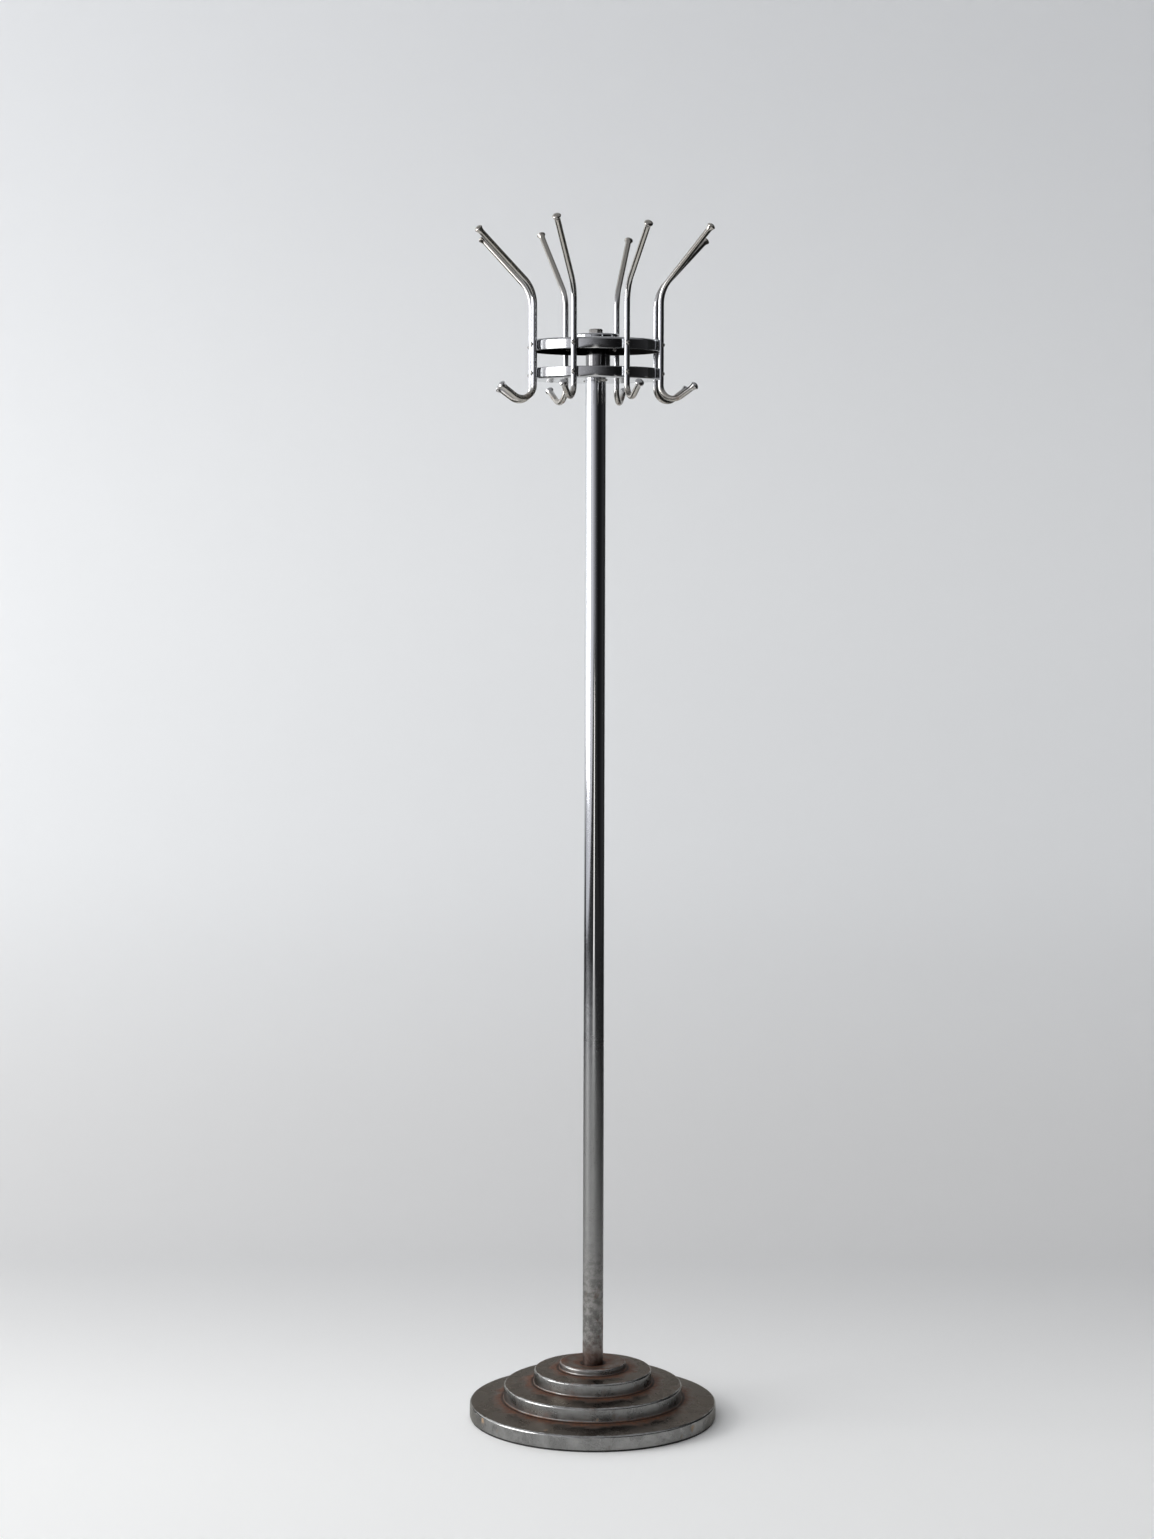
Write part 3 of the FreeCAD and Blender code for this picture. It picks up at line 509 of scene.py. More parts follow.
def pitting_group():
    """Small pits through plating: cells of a Voronoi pattern that a slower noise lets through."""
    group, given, result = effect_group("Pitting", [("Scale", 600.0), ("Amount", 0.3)], ["Mask"])
    cells = add_node(group, "ShaderNodeTexVoronoi", Vector=given["Vector"], Scale=given["Scale"])
    size = noise(group, given["Vector"], maths(group, "MULTIPLY", given["Scale"], 0.31), 3.0)
    patches = noise(group, given["Vector"], maths(group, "MULTIPLY", given["Scale"], 0.06), 3.0)
    reach = maths(group, "MULTIPLY", size, maths(group, "MULTIPLY", patches, given["Amount"]))
    ragged = noise(group, given["Vector"], maths(group, "MULTIPLY", given["Scale"], 2.3), 2.0)
    edge = raised(group, cells.outputs["Distance"], ragged, 0.45)
    gap = maths(group, "SUBTRACT", maths(group, "ADD", reach, 0.17), edge)
    group.links.new(maths(group, "MULTIPLY", gap, 9.0, True), result["Mask"])
    return group


def bloom_group():
    """Ragged patches, as of rust or tarnish: noise at two scales cut off where it falls below a level."""
    sockets = [("Scale", 60.0), ("Spread", 0.5), ("Sharpness", 6.0)]
    group, given, result = effect_group("Bloom", sockets, ["Mask", "Grain"])
    broad = noise(group, given["Vector"], given["Scale"], 6.0, 0.62, 0.4)
    fine = noise(group, given["Vector"], maths(group, "MULTIPLY", given["Scale"], 7.0), 3.0)
    level = raised(group, broad, maths(group, "SUBTRACT", fine, 0.5), 0.25)
    over = maths(group, "ADD", maths(group, "SUBTRACT", level, 1.0), given["Spread"])
    group.links.new(maths(group, "MULTIPLY", over, given["Sharpness"], True), result["Mask"])
    group.links.new(fine, result["Grain"])
    return group


def rubbing_group():
    """Fine rubbing marks round a polished piece: noise drawn out across the piece and very fine along it."""
    group, given, result = effect_group("Rubbing", [("Scale", 900.0)], ["Height", "Haze"])
    fine = noise(group, stretched(group, given["Vector"], 0.05, 0.05, 1.0), given["Scale"], 3.0, 0.6)
    haze = noise(group, given["Vector"], maths(group, "MULTIPLY", given["Scale"], 0.035), 5.0, 0.6)
    group.links.new(fine, result["Height"])
    group.links.new(haze, result["Haze"])
    return group


def effect(tree, name, vector, **inputs):
    """Place a node group in a tree, making the group the first time."""
    makers = {"Pitting": pitting_group, "Bloom": bloom_group, "Rubbing": rubbing_group}
    group = bpy.data.node_groups.get(name) or makers[name]()
    node = add_node(tree, "ShaderNodeGroup", {"node_tree": group}, Vector=vector, **inputs)
    return node.outputs


def worn_name(slot):
    """The name of a slot's worn material, which differs from the frame's own for that slot."""
    return f"worn_{slot}"


def new_material(slot, metallic=1.0):
    """A material's node tree, its Principled shader, and its object coordinates."""
    material = bpy.data.materials.new(worn_name(slot))
    material.use_nodes = True
    tree = material.node_tree
    shader = tree.nodes["Principled BSDF"]
    shader.inputs["Metallic"].default_value = metallic
    place = tree.nodes.new("ShaderNodeTexCoord").outputs["Object"]
    return material, tree, shader, place


def mark(tree, name):
    """A mark that was put on a piece's points."""
    return add_node(tree, "ShaderNodeAttribute", {"attribute_name": name}).outputs["Fac"]


def bump(tree, shader, height, depth):
    """Relief of the given depth, in metres, where height runs from nought to one."""
    node = add_node(tree, "ShaderNodeBump", Height=height, Distance=depth, Strength=1.0)
    tree.links.new(node.outputs["Normal"], shader.inputs["Normal"])


def along(tree, vector, axis):
    """How far a vector reaches along an axis."""
    node = add_node(tree, "ShaderNodeVectorMath", {"operation": "DOT_PRODUCT"})
    tree.links.new(vector, node.inputs[0])
    node.inputs[1].default_value = axis
    return node.outputs["Value"]


def height_above_floor(tree, place):
    """The height part of a position or direction."""
    return add_node(tree, "ShaderNodeSeparateXYZ", Vector=place).outputs["Z"]


# ---------------------------------------------------------------- finishes

def pole_finish():
    """Chrome that is bright at the head and goes hazy, grey and pitted towards the foot, and that a mark
    darkens with painted shade on the spacer tube.
    """
    colours = settings().colours
    material, tree, shader, place = new_material("pole_chrome")
    z = height_above_floor(tree, place)
    drift = maths(tree, "MULTIPLY", noise(tree, place, 9.0, 5.0, 0.65), 0.30)
    uneven_z = maths(tree, "ADD", z, maths(tree, "SUBTRACT", drift, 0.15))
    haze = fade(tree, uneven_z, 0.72, 0.40)
    foot = fade(tree, uneven_z, 0.34, 0.12)
    rubbing = effect(tree, "Rubbing", place, Scale=1500.0)
    pits = effect(tree, "Pitting", place, Scale=700.0,
                  Amount=maths(tree, "ADD", maths(tree, "MULTIPLY", haze, 0.5), 0.3))["Mask"]
    stains = effect(tree, "Bloom", stretched(tree, place, 1.0, 1.0, 0.35), Scale=55.0,
                    Spread=raised(tree, 0.28, foot, 0.17))
    tired = blend(tree, haze, colours.chrome, colours.tired_chrome)
    mottle = fade(tree, noise(tree, place, 120.0, 6.0, 0.7), 0.38, 0.62)
    dull = blend(tree, mottle, [0.5 * part for part in colours.dull_foot], colours.dull_foot)
    plating = blend(tree, foot, tired, dull)
    stained = blend(tree, maths(tree, "MULTIPLY", stains["Mask"], 0.75), plating, colours.pale_rust)
    # Painted shade: the spacer's mark mixes the dark colour in, in place of the shadow between the pans
    spacer_shade = mark(tree, "spacer_shade")
    rooted = blend(tree, fade(tree, uneven_z, 0.12, 0.075, 0.0, 0.6), stained, colours.rust)
    darkened = blend(tree, spacer_shade, rooted, colours.grime_and_shade)
    tree.links.new(blend(tree, pits, darkened, colours.grime_and_shade), shader.inputs["Base Color"])
    polish = raised(tree, 0.045, rubbing["Haze"], 0.06)
    dull = raised(tree, polish, haze, 0.34)
    rough = raised(tree, dull, stains["Mask"], 0.25, True)
    tree.links.new(raised(tree, rough, pits, 0.3, True), shader.inputs["Roughness"])
    relief = maths(tree, "SUBTRACT", maths(tree, "MULTIPLY", rubbing["Height"], 0.05), pits)
    bump(tree, shader, relief, 0.00005)
    return material


def rod_finish():
    """Old chrome on the rods: bright shanks, slightly yellowed arms, and worn hooks."""
    colours = settings().colours
    material, tree, shader, place = new_material("rod_chrome")
    z = height_above_floor(tree, place)
    rim = low_of("lower_pan")
    handled = fade(tree, z, rim + 0.002, rim - 0.022)
    arm = fade(tree, z, high_of("upper_pan") + 0.03, high_of("upper_pan") + 0.10)
    rubbing = effect(tree, "Rubbing", place, Scale=1800.0)
    stains = effect(tree, "Bloom", place, Scale=95.0,
                    Spread=raised(tree, 0.30, handled, 0.16))
    pits = effect(tree, "Pitting", place, Scale=1100.0, Amount=0.62)["Mask"]
    aged = maths(tree, "MULTIPLY", maths(tree, "ADD", arm, handled, True), 0.8)
    plating = blend(tree, aged, colours.chrome, colours.warm_chrome)
    stained = blend(tree, maths(tree, "MULTIPLY", stains["Mask"], 0.6), plating, colours.pale_rust)
    tree.links.new(blend(tree, pits, stained, colours.grime_and_shade), shader.inputs["Base Color"])
    polish = raised(tree, 0.10, rubbing["Haze"], 0.12)
    worn = raised(tree, polish, handled, 0.10)
    tree.links.new(raised(tree, worn, stains["Mask"], 0.25, True), shader.inputs["Roughness"])
    bump(tree, shader, maths(tree, "SUBTRACT", 1.0, pits), 0.00004)
    return material


def head_finish():
    """Chrome on the pans and cap, with rubbing marks round them, dark pits of dirt, and painted shade, near
    black, on the pans' inner faces.
    """
    colours = settings().colours
    material, tree, shader, place = new_material("head_chrome")
    rubbing = effect(tree, "Rubbing", place, Scale=1300.0)
    pits = effect(tree, "Pitting", place, Scale=900.0, Amount=0.55)["Mask"]
    hidden = mark(tree, "inside")
    stains = effect(tree, "Bloom", place, Scale=70.0,
                    Spread=raised(tree, 0.33, hidden, 0.35))
    plate = blend(tree, rubbing["Haze"], colours.chrome, colours.tired_chrome)
    stained = blend(tree, maths(tree, "MULTIPLY", stains["Mask"], 0.55), plate, colours.pale_rust)
    # Painted shade: the pans' inner faces are mixed almost wholly to near black, in place of the shadow
    # inside them
    dark = blend(tree, maths(tree, "MULTIPLY", hidden, 0.98), stained, colours.cavity_shade)
    tree.links.new(blend(tree, pits, dark, colours.grime_and_shade), shader.inputs["Base Color"])
    polish = raised(tree, 0.09, rubbing["Haze"], 0.10)
    worn = raised(tree, polish, stains["Mask"], 0.2)
    tree.links.new(raised(tree, worn, hidden, 0.3, True), shader.inputs["Roughness"])
    relief = maths(tree, "SUBTRACT", maths(tree, "MULTIPLY", rubbing["Height"], 0.08), pits)
    bump(tree, shader, relief, 0.00004)
    return material


def foot_finish():
    """Dull plating on cast iron, rubbed bright on the edges, with rust in the creases, painted shade, near
    black, in the creases' cores, and small marks.
    """
    colours = settings().colours
    material, tree, shader, place = new_material("plated_iron")
    crease = mark(tree, "crease")
    edge = mark(tree, "edge")
    chip = mark(tree, "chip")
    level = mark(tree, "level")
    mottle = noise(tree, place, 28.0, 6.0, 0.65, 0.3)
    grain = noise(tree, place, 1100.0, 4.0, 0.6)
    rust = effect(tree, "Bloom", place, Scale=42.0, Sharpness=2.6,
                  Spread=raised(tree, 0.36, crease, 0.60))
    rubbed = effect(tree, "Bloom", place, Scale=65.0,
                    Spread=raised(tree, 0.12, edge, 0.8))["Mask"]
    pits = effect(tree, "Pitting", place, Scale=620.0, Amount=0.85)["Mask"]
    dull = blend(tree, fade(tree, mottle, 0.35, 0.68), [0.62 * part for part in colours.iron], colours.iron)
    settled = blend(tree, maths(tree, "MULTIPLY", level, 0.8), dull, colours.settled)
    bright = blend(tree, rubbed, settled, colours.bare_edge)
    rust_colour = blend(tree, fade(tree, rust["Grain"], 0.4, 0.7), colours.rust, colours.pale_rust)
    rusted = blend(tree, maths(tree, "MULTIPLY", rust["Mask"], 0.85), bright, rust_colour)
    # Painted shade: the cores of the creases go near black, in place of the shadow there
    core = fade(tree, crease, 0.86, 0.97)
    shaded_creases = blend(tree, maths(tree, "MULTIPLY", core, 0.85), rusted, colours.cavity_shade)
    chipped = blend(tree, chip, shaded_creases, colours.chip)
    tree.links.new(blend(tree, pits, chipped, colours.grime_and_shade), shader.inputs["Base Color"])
    shader.inputs["Specular Tint"].default_value = (0.55, 0.53, 0.5, 1.0)
    matt = maths(tree, "MAXIMUM", rust["Mask"], chip)
    metal = maths(tree, "SUBTRACT", 1.0, maths(tree, "MULTIPLY", matt, 0.75))
    tree.links.new(metal, shader.inputs["Metallic"])
    base = raised(tree, 0.15, mottle, 0.26)
    polished = maths(tree, "SUBTRACT", base, maths(tree, "MULTIPLY", rubbed, 0.12))
    tree.links.new(raised(tree, polished, matt, 0.4, True), shader.inputs["Roughness"])
    relief = raised(tree, maths(tree, "MULTIPLY", grain, 0.35), rust["Mask"], 0.5)
    bump(tree, shader, maths(tree, "SUBTRACT", relief, pits), 0.00009)
    return material


def fastener_finish():
    """Worn nickel on the bolt, washers, screws and rivets, dark in the corners."""
    colours = settings().colours
    material, tree, shader, place = new_material("fastener_nickel")
    stains = effect(tree, "Bloom", place, Scale=260.0, Spread=0.42)
    pits = effect(tree, "Pitting", place, Scale=900.0, Amount=0.9)["Mask"]
    stained = blend(tree, maths(tree, "MULTIPLY", stains["Mask"], 0.8), colours.nickel, colours.rust)
    tree.links.new(blend(tree, pits, stained, colours.grime_and_shade), shader.inputs["Base Color"])
    tree.links.new(raised(tree, 0.24, stains["Mask"], 0.3, True), shader.inputs["Roughness"])
    bump(tree, shader, maths(tree, "SUBTRACT", stains["Grain"], pits), 0.00005)
    return material


def steel_finish():
    """Unplated steel inside the rack, dull and a little rusty."""
    colours = settings().colours
    material, tree, shader, place = new_material("plain_steel")
    stains = effect(tree, "Bloom", place, Scale=120.0, Spread=0.56)
    tree.links.new(blend(tree, stains["Mask"], colours.steel, colours.rust), shader.inputs["Base Color"])
    tree.links.new(raised(tree, 0.38, stains["Mask"], 0.3, True), shader.inputs["Roughness"])
    bump(tree, shader, stains["Grain"], 0.00004)
    return material


def ring_finish():
    """Matt black ring under the foot."""
    material, tree, shader, place = new_material("floor_ring", 0.0)
    dust = fade(tree, noise(tree, place, 180.0, 5.0), 0.45, 0.7)
    black = settings().colours.ring
    tree.links.new(blend(tree, dust, black, [part * 3 for part in black]), shader.inputs["Base Color"])
    tree.links.new(raised(tree, 0.65, dust, 0.25), shader.inputs["Roughness"])
    bump(tree, shader, dust, 0.00005)
    return material


def finish_of(name):
    """The worn material that stands in for one of the frame's material slots, made when first asked for."""
    makers = {
        "pole_chrome": pole_finish,
        "rod_chrome": rod_finish,
        "head_chrome": head_finish,
        "plated_iron": foot_finish,
        "fastener_nickel": fastener_finish,
        "plain_steel": steel_finish,
        "floor_ring": ring_finish,
    }
    return bpy.data.materials.get(worn_name(name)) or makers[name]()


# ---------------------------------------------------------------- foot

FOOT_COLUMNS = 360
SOCKET_GAP = 0.00015    # between the pole and its socket
CAST_EDGE = 0.0006      # rounding of the casting's small edges
EDGE_MARK = 0.0028      # how far the rubbed edge reaches from a tier's corner
CREASE_MARK = 0.016     # how far rust reaches from a crease
UPRIGHT_RUST = 0.3      # how much of a crease's rust stands on the tiers' upright sides

# Marks on the foot: direction in degrees round the pole, radius and height, reach, depth.
FOOT_CHIPS = [
    (-133.5, 0.1705, 0.0155, 0.0042, 0.0004),
    (-121, 0.1700, 0.0120, 0.0022, 0.0002),
    (-19, 0.1712, 0.0135, 0.0040, 0.0014),
    (-27, 0.1700, 0.0060, 0.0022, 0.0005),
    (-69, 0.1240, 0.0300, 0.0020, 0.0002),
    (-95, 0.1600, 0.0230, 0.0018, 0.0001),
    (40, 0.1712, 0.0190, 0.0032, 0.0006),
    (131, 0.1236, 0.0440, 0.0028, 0.0005),
]


def foot_outline(sizes):
    """The casting's outline: up its four tiers, down the socket, and back under the hollow shell.

    Returned with the tiers' corners and the creases between them.
    """
    radii, edges, rises, shell = sizes.tier_radii, sizes.tier_edges, sizes.tier_rises, sizes.shell
    floor, top, soft = low_of("base_casting"), edges[3] + rises[3], CAST_EDGE
    socket, socket_low = radius_of("pole_tube") + SOCKET_GAP, top - sizes.socket_depth
    outside = [(radii[0], floor, soft)]
    for tier in range(4):
        if tier:
            outside.append((radii[tier], edges[tier - 1] + rises[tier - 1], sizes.crease_round))
        outside.append((radii[tier], edges[tier], sizes.edge_round))
    bore = [
        (socket, top, soft),
        (socket, socket_low, 0),
        (sizes.bolt_hole, socket_low, 0),
        (sizes.bolt_hole, sizes.hub_clearance, 0),
        (sizes.hub_radius, sizes.hub_clearance, soft),
        (sizes.hub_radius, edges[2] - shell, sizes.crease_round),
    ]
    inside = []
    for tier in (2, 1):
        inside.append((radii[tier] - shell, edges[tier] - shell, sizes.edge_round))
        inside.append((radii[tier] - shell, edges[tier - 1] - shell, sizes.crease_round))
    inside += [(radii[0] - shell, edges[0] - shell, sizes.edge_round), (radii[0] - shell, floor, soft)]
    corners = [(radii[tier], edges[tier]) for tier in range(4)]
    creases = [(radii[tier], edges[tier - 1] + rises[tier - 1]) for tier in (1, 2, 3)]
    creases.append((socket, top))
    return rounded_outline(outside + bore + inside, True, longest=0.0046), corners, creases


def level_share(outline):
    """For each point of a closed outline, one where its side is level and nought where it is upright."""
    step = np.roll(outline, -1, axis=0) - np.roll(outline, 1, axis=0)
    return (step[:, 0] / np.linalg.norm(step, axis=1)) ** 2


def nearness(rings, places, reach):
    """Each point's nearness to the nearest (radius, height) place: exp(-(distance / reach)^2)."""
    radius = np.hypot(rings[..., 0], rings[..., 1])
    away = [np.hypot(radius - r, rings[..., 2] - z) for r, z in places]
    return np.exp(-(np.min(away, axis=0) / reach) ** 2)


def chip_marks(rings):
    """For each point, how far it lies in a chip, and how deep the chip is there.

    A chip is exp(-(distance / reach)^2), with a reach that wanders so that its edge is ragged.
    """
    mark, depth = np.zeros(rings.shape[:2]), np.zeros(rings.shape[:2])
    for degrees, radius, height, reach, deep in FOOT_CHIPS:
        angle = math.radians(degrees)
        middle = np.array([radius * math.cos(angle), radius * math.sin(angle), height])
        ragged = 1 + 0.35 * smooth_noise(rings[..., 0] * 900, rings[..., 1] + rings[..., 2], 5, 3)
        near = np.exp(-(np.linalg.norm(rings - middle, axis=-1) / (reach * ragged)) ** 2)
        mark = np.maximum(mark, np.clip((near - 0.35) * 6, 0, 1))
        depth = np.maximum(depth, deep * near)
    return mark, depth


class RACK_OT_foot(bpy.types.Operator):
    """Build the stepped cast foot, and give the ring and fittings under it their finishes"""
    bl_idname = "rack.foot"
    bl_label = "Foot"

    def execute(self, context):
        sizes = context.scene.coat_rack.foot
        outline, corners, creases = foot_outline(sizes)
        rings = turned_rings(outline, FOOT_COLUMNS)
        radius = np.hypot(rings[..., 0], rings[..., 1])
        angle = np.arctan2(rings[..., 1], rings[..., 0])
        chip, depth = chip_marks(rings)
        wander = sizes.unevenness * (smooth_noise(angle, rings[..., 2], 7, 11) - 1)
        outer = np.clip((radius - sizes.hub_radius) / sizes.hub_radius, 0, 1)
        scale = 1 + (wander * outer - depth) / radius
        rings[..., :2] *= scale[..., None]
        level = level_share(outline)[:, None] + 0 * chip
        marks = {
            "edge": nearness(rings, corners, EDGE_MARK),
            "crease": nearness(rings, creases, CREASE_MARK) * (UPRIGHT_RUST + (1 - UPRIGHT_RUST) * level),
            "chip": chip,
            "level": level,
        }
        add_piece("foot", ring_surface(rings), "plated_iron", ["base_casting"], marks)
        dress_node("base_floor_ring", "floor_ring")
        for node in ("base_bolt", "base_washer", "base_lock_washer"):
            dress_node(node, "plain_steel")
        return {"FINISHED"}


def dress_node(node, finish):
    """Give its finish to a frame node that is shown as it is."""
    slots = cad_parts[node].material_slots
    if not slots:
        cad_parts[node].data.materials.append(finish_of(finish))
    for slot in slots:
        slot.material = finish_of(finish)


# ---------------------------------------------------------------- pole

POLE_COLUMNS = 160
TUBE_EDGE = 0.0003      # rounding of the tubes' ends
POLE_WANDER = 0.00002   # how far the pole wanders from round
POLE_INSET = 0.002      # share of its radius by which the pole's surface lies inside the frame's


def tube_surface(outer, wall, low, high, longest, steps, centre=(0.0, 0.0)):
    """Rings of an upright tube: its outline of four soft corners turned about its centre."""
    outline = rounded_outline([
        (outer, low, TUBE_EDGE),
        (outer, high, TUBE_EDGE),
        (outer - wall, high, TUBE_EDGE),
        (outer - wall, low, TUBE_EDGE),
    ], True, steps, longest=longest)
    return turned_rings(outline, POLE_COLUMNS, centre)


class RACK_OT_pole(bpy.types.Operator):
    """Build the pole's tube, and give the plugs in its ends their finish"""
    bl_idname = "rack.pole"
    bl_label = "Pole"

    def execute(self, context):
        outer, wall = radius_of("pole_tube"), context.scene.coat_rack.head.pole_wall
        rings = tube_surface(outer, wall, low_of("pole_tube"), high_of("pole_tube"), 0.012, 4)
        angle = np.arctan2(rings[..., 1], rings[..., 0])
        wander = POLE_WANDER * smooth_noise(angle, rings[..., 2] * 0.2, 3, 5)
        rings[..., :2] *= 1 + (wander / outer - POLE_INSET)[..., None]
        add_piece("pole", ring_surface(rings), "pole_chrome", ["pole_tube"])
        for node in ("pole_lower_plug", "pole_upper_plug"):
            dress_node(node, "plain_steel")
        return {"FINISHED"}


# ---------------------------------------------------------------- head

HEAD_COLUMNS = 240
SHEET_EDGE = 0.0004     # rounding of the sheets' cut edges
CAP_CREASE = 0.001      # rounding of the bends round the cap's sunk middle
CAP_WANDER = 0.00012    # how far the cap wanders from flat
SPACER_SHADE = 0.76     # how far painted shade darkens the spacer tube, which stands in the shadow between the pans


def pan_surface(sizes, node, opens_up):
    """A pan turned from its closed outline, and a mark that is one on its inner faces.

    Its rim is drawn in towards both edges by the crown times the square of the height from its middle.
    """
    outer, sheet, low, high = radius_of(node), sizes.pan_sheet, low_of(node), high_of(node)
    hole = sizes.bolt_hole if node == "upper_pan" else radius_of("pole_tube") - sizes.pole_wall
    bend, lip = sizes.pan_round, sizes.pan_lip
    corners = [
        (hole, low, SHEET_EDGE),
        (outer, low, bend),
        (outer, high, lip),
        (outer - sheet, high, lip),
        (outer - sheet, low + sheet, bend - sheet),
        (hole, low + sheet, SHEET_EDGE),
    ]
    if not opens_up:
        corners = [(radius, low + high - height, rounding) for radius, height, rounding in corners[::-1]]
    rings = turned_rings(rounded_outline(corners, True, longest=0.004), HEAD_COLUMNS)
    radius, height = np.hypot(rings[..., 0], rings[..., 1]), rings[..., 2]
    floor_gap = height - low if opens_up else high - height
    inside = np.clip((outer - radius) / sheet * 2 - 1, 0, 1) * np.clip(floor_gap / sheet * 2 - 0.9, 0, 1)
    off_middle = (height - (low + high) / 2) / (high - low) * 2
    crown = sizes.pan_crown * off_middle ** 2 * (radius > outer - 2 * sheet)
    rings[..., :2] *= (1 - crown / radius)[..., None]
    return ring_surface(rings), {"inside": inside}


def cap_surface(sizes):
    """The cap turned from its closed outline: an upright edge, a flat rim and a sunk middle."""
    outer, low, high = radius_of("top_cap"), low_of("top_cap"), high_of("top_cap")
    sheet, dish, sunk = sizes.cap_sheet, sizes.cap_dish_radius, high - sizes.cap_dish_depth
    shoulder, hole, soft = dish + sizes.cap_dish_depth, sizes.bolt_hole, SHEET_EDGE
    outline = rounded_outline([
        (outer - sheet, low, soft),
        (outer, low, soft),
        (outer, high, sizes.cap_round),
        (shoulder, high, CAP_CREASE),
        (dish, sunk, CAP_CREASE),
        (hole, sunk, soft),
        (hole, sunk - sheet, soft),
        (dish + sheet, sunk - sheet, soft),
        (shoulder + sheet, high - sheet, soft),
        (outer - sheet, high - sheet, sizes.cap_round - sheet),
    ], True, longest=0.003)
    rings = turned_rings(outline, HEAD_COLUMNS)
    angle, height = np.arctan2(rings[..., 1], rings[..., 0]), rings[..., 2]
    rings[..., 2] = np.clip(height + CAP_WANDER * smooth_noise(angle, 0 * height, 4, 8), low, high)
    return ring_surface(rings)


class RACK_OT_head(bpy.types.Operator):
    """Build the two pans, the spacer tube between them and the cap on top"""
    bl_idname = "rack.head"
    bl_label = "Head"

    def execute(self, context):
        sizes = context.scene.coat_rack.head
        for node, opens_up in (("lower_pan", True), ("upper_pan", False)):
            surface, marks = pan_surface(sizes, node, opens_up)
            add_piece(f"{node}_sheet", surface, "head_chrome", [node], marks)
        add_piece("cap", cap_surface(sizes), "head_chrome", ["top_cap"])
        low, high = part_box("head_spacer")
        centre, outer = (low + high) / 2, (high.x - low.x) / 2
        rings = tube_surface(outer, sizes.spacer_wall, low.z, high.z, 0.004, 7, (centre.x, centre.y))
        # Painted shade on the spacer, which sits in shadow between the pans
        marks = {"spacer_shade": np.full(rings.shape[:2], SPACER_SHADE)}
        add_piece("spacer", ring_surface(rings), "pole_chrome", ["head_spacer"], marks)
        return {"FINISHED"}


# ---------------------------------------------------------------- fasteners

BOLT_COLUMNS = 192
SCREW_COLUMNS = 72
RIVET_COLUMNS = 40
CORNER_CROWDING = 0.8   # how strongly the bolt's columns crowd towards its corners, from nought to one
CHAMFER_CIRCLE = 0.93   # radius of the flat end of the bolt's head, as a share of half its width
BOLT_TIP = 0.0008       # rounding of the end of the bolt's shank
WASHER_COLUMNS = 120
WASHER_BORE = 0.0002    # between the bolt's shank and its lock washer
WASHER_SQUARENESS = 0.3  # power that turns a round section into a soft square
SLOT_DIRECTION = 0.6    # direction of the slots in the pan screws, in radians
SLOT_EDGE = 0.0002      # width over which a slot's side falls
RIVET_EDGE = 0.0005     # rounding of the rivets' closed ends


def bolt_surface(sizes):
    """The top bolt: a round shank and a hexagon head whose corners are cut by a 30 degree cone.

    The head's radius is the hexagon's, half its width over cos of the angle from the nearest flat's
    middle, or the cone's where that is less. Columns crowd towards the hexagon's corners.
    """
    low, high = low_of("top_bolt"), high_of("top_bolt")
    seat, flat = high - sizes.bolt_head, sizes.bolt_across_flats / 2
    even = np.linspace(0, 2 * math.pi, BOLT_COLUMNS, endpoint=False)
    angle = even - CORNER_CROWDING * np.sin(6 * even) / 6
    side = angle % (math.pi / 3) - math.pi / 6
    hexagon = flat / np.cos(side)
    outline = rounded_outline([
        (PIN, low, 0),
        (sizes.bolt_shank, low, BOLT_TIP),
        (sizes.bolt_shank, seat, 0),
        (flat, seat, 0),
        (flat, high, 0),
        (PIN, high, 0),
    ], False, support=0.0002, longest=0.0006)
    radius, height = outline[:, :1] + 0 * angle, outline[:, 1:] + 0 * angle
    in_head = height >= seat - 1e-9
    head = radius * hexagon / flat
    cone = CHAMFER_CIRCLE * flat + (high - height) * math.sqrt(3)
    radius = np.where(in_head, np.minimum(head, np.maximum(cone, 0)), radius)
    rings = np.stack([radius * np.cos(angle), radius * np.sin(angle), height], axis=-1)
    return capped_surface(rings, (0, 0, low), (0, 0, high))


def washer_surface(sizes):
    """The split lock washer: a rounded section carried along an arc that stops short at the slit.

    Each section runs r = middle + width u, z = middle + height v, with (u, v) round a soft square.
    """
    node = "top_lock_washer"
    low, high, outer = low_of(node), high_of(node), radius_of(node)
    inner = sizes.bolt_shank + WASHER_BORE
    gap = math.asin(sizes.lock_washer_slit / 2 / outer) + 0.01
    angle = np.linspace(gap, 2 * math.pi - gap, WASHER_COLUMNS)[:, None]
    around = np.linspace(0, 2 * math.pi, 24, endpoint=False)
    section = np.stack([np.cos(around), np.sin(around)])
    across, upward = np.abs(section) ** WASHER_SQUARENESS * np.sign(section)
    radius = (outer + inner) / 2 + (outer - inner) / 2 * across
    height = (high + low) / 2 - (high - low) / 2 * upward
    rings = np.stack([radius * np.cos(angle), radius * np.sin(angle), height + 0 * angle], axis=-1)
    return capped_surface(rings, rings[0].mean(0), rings[-1].mean(0))


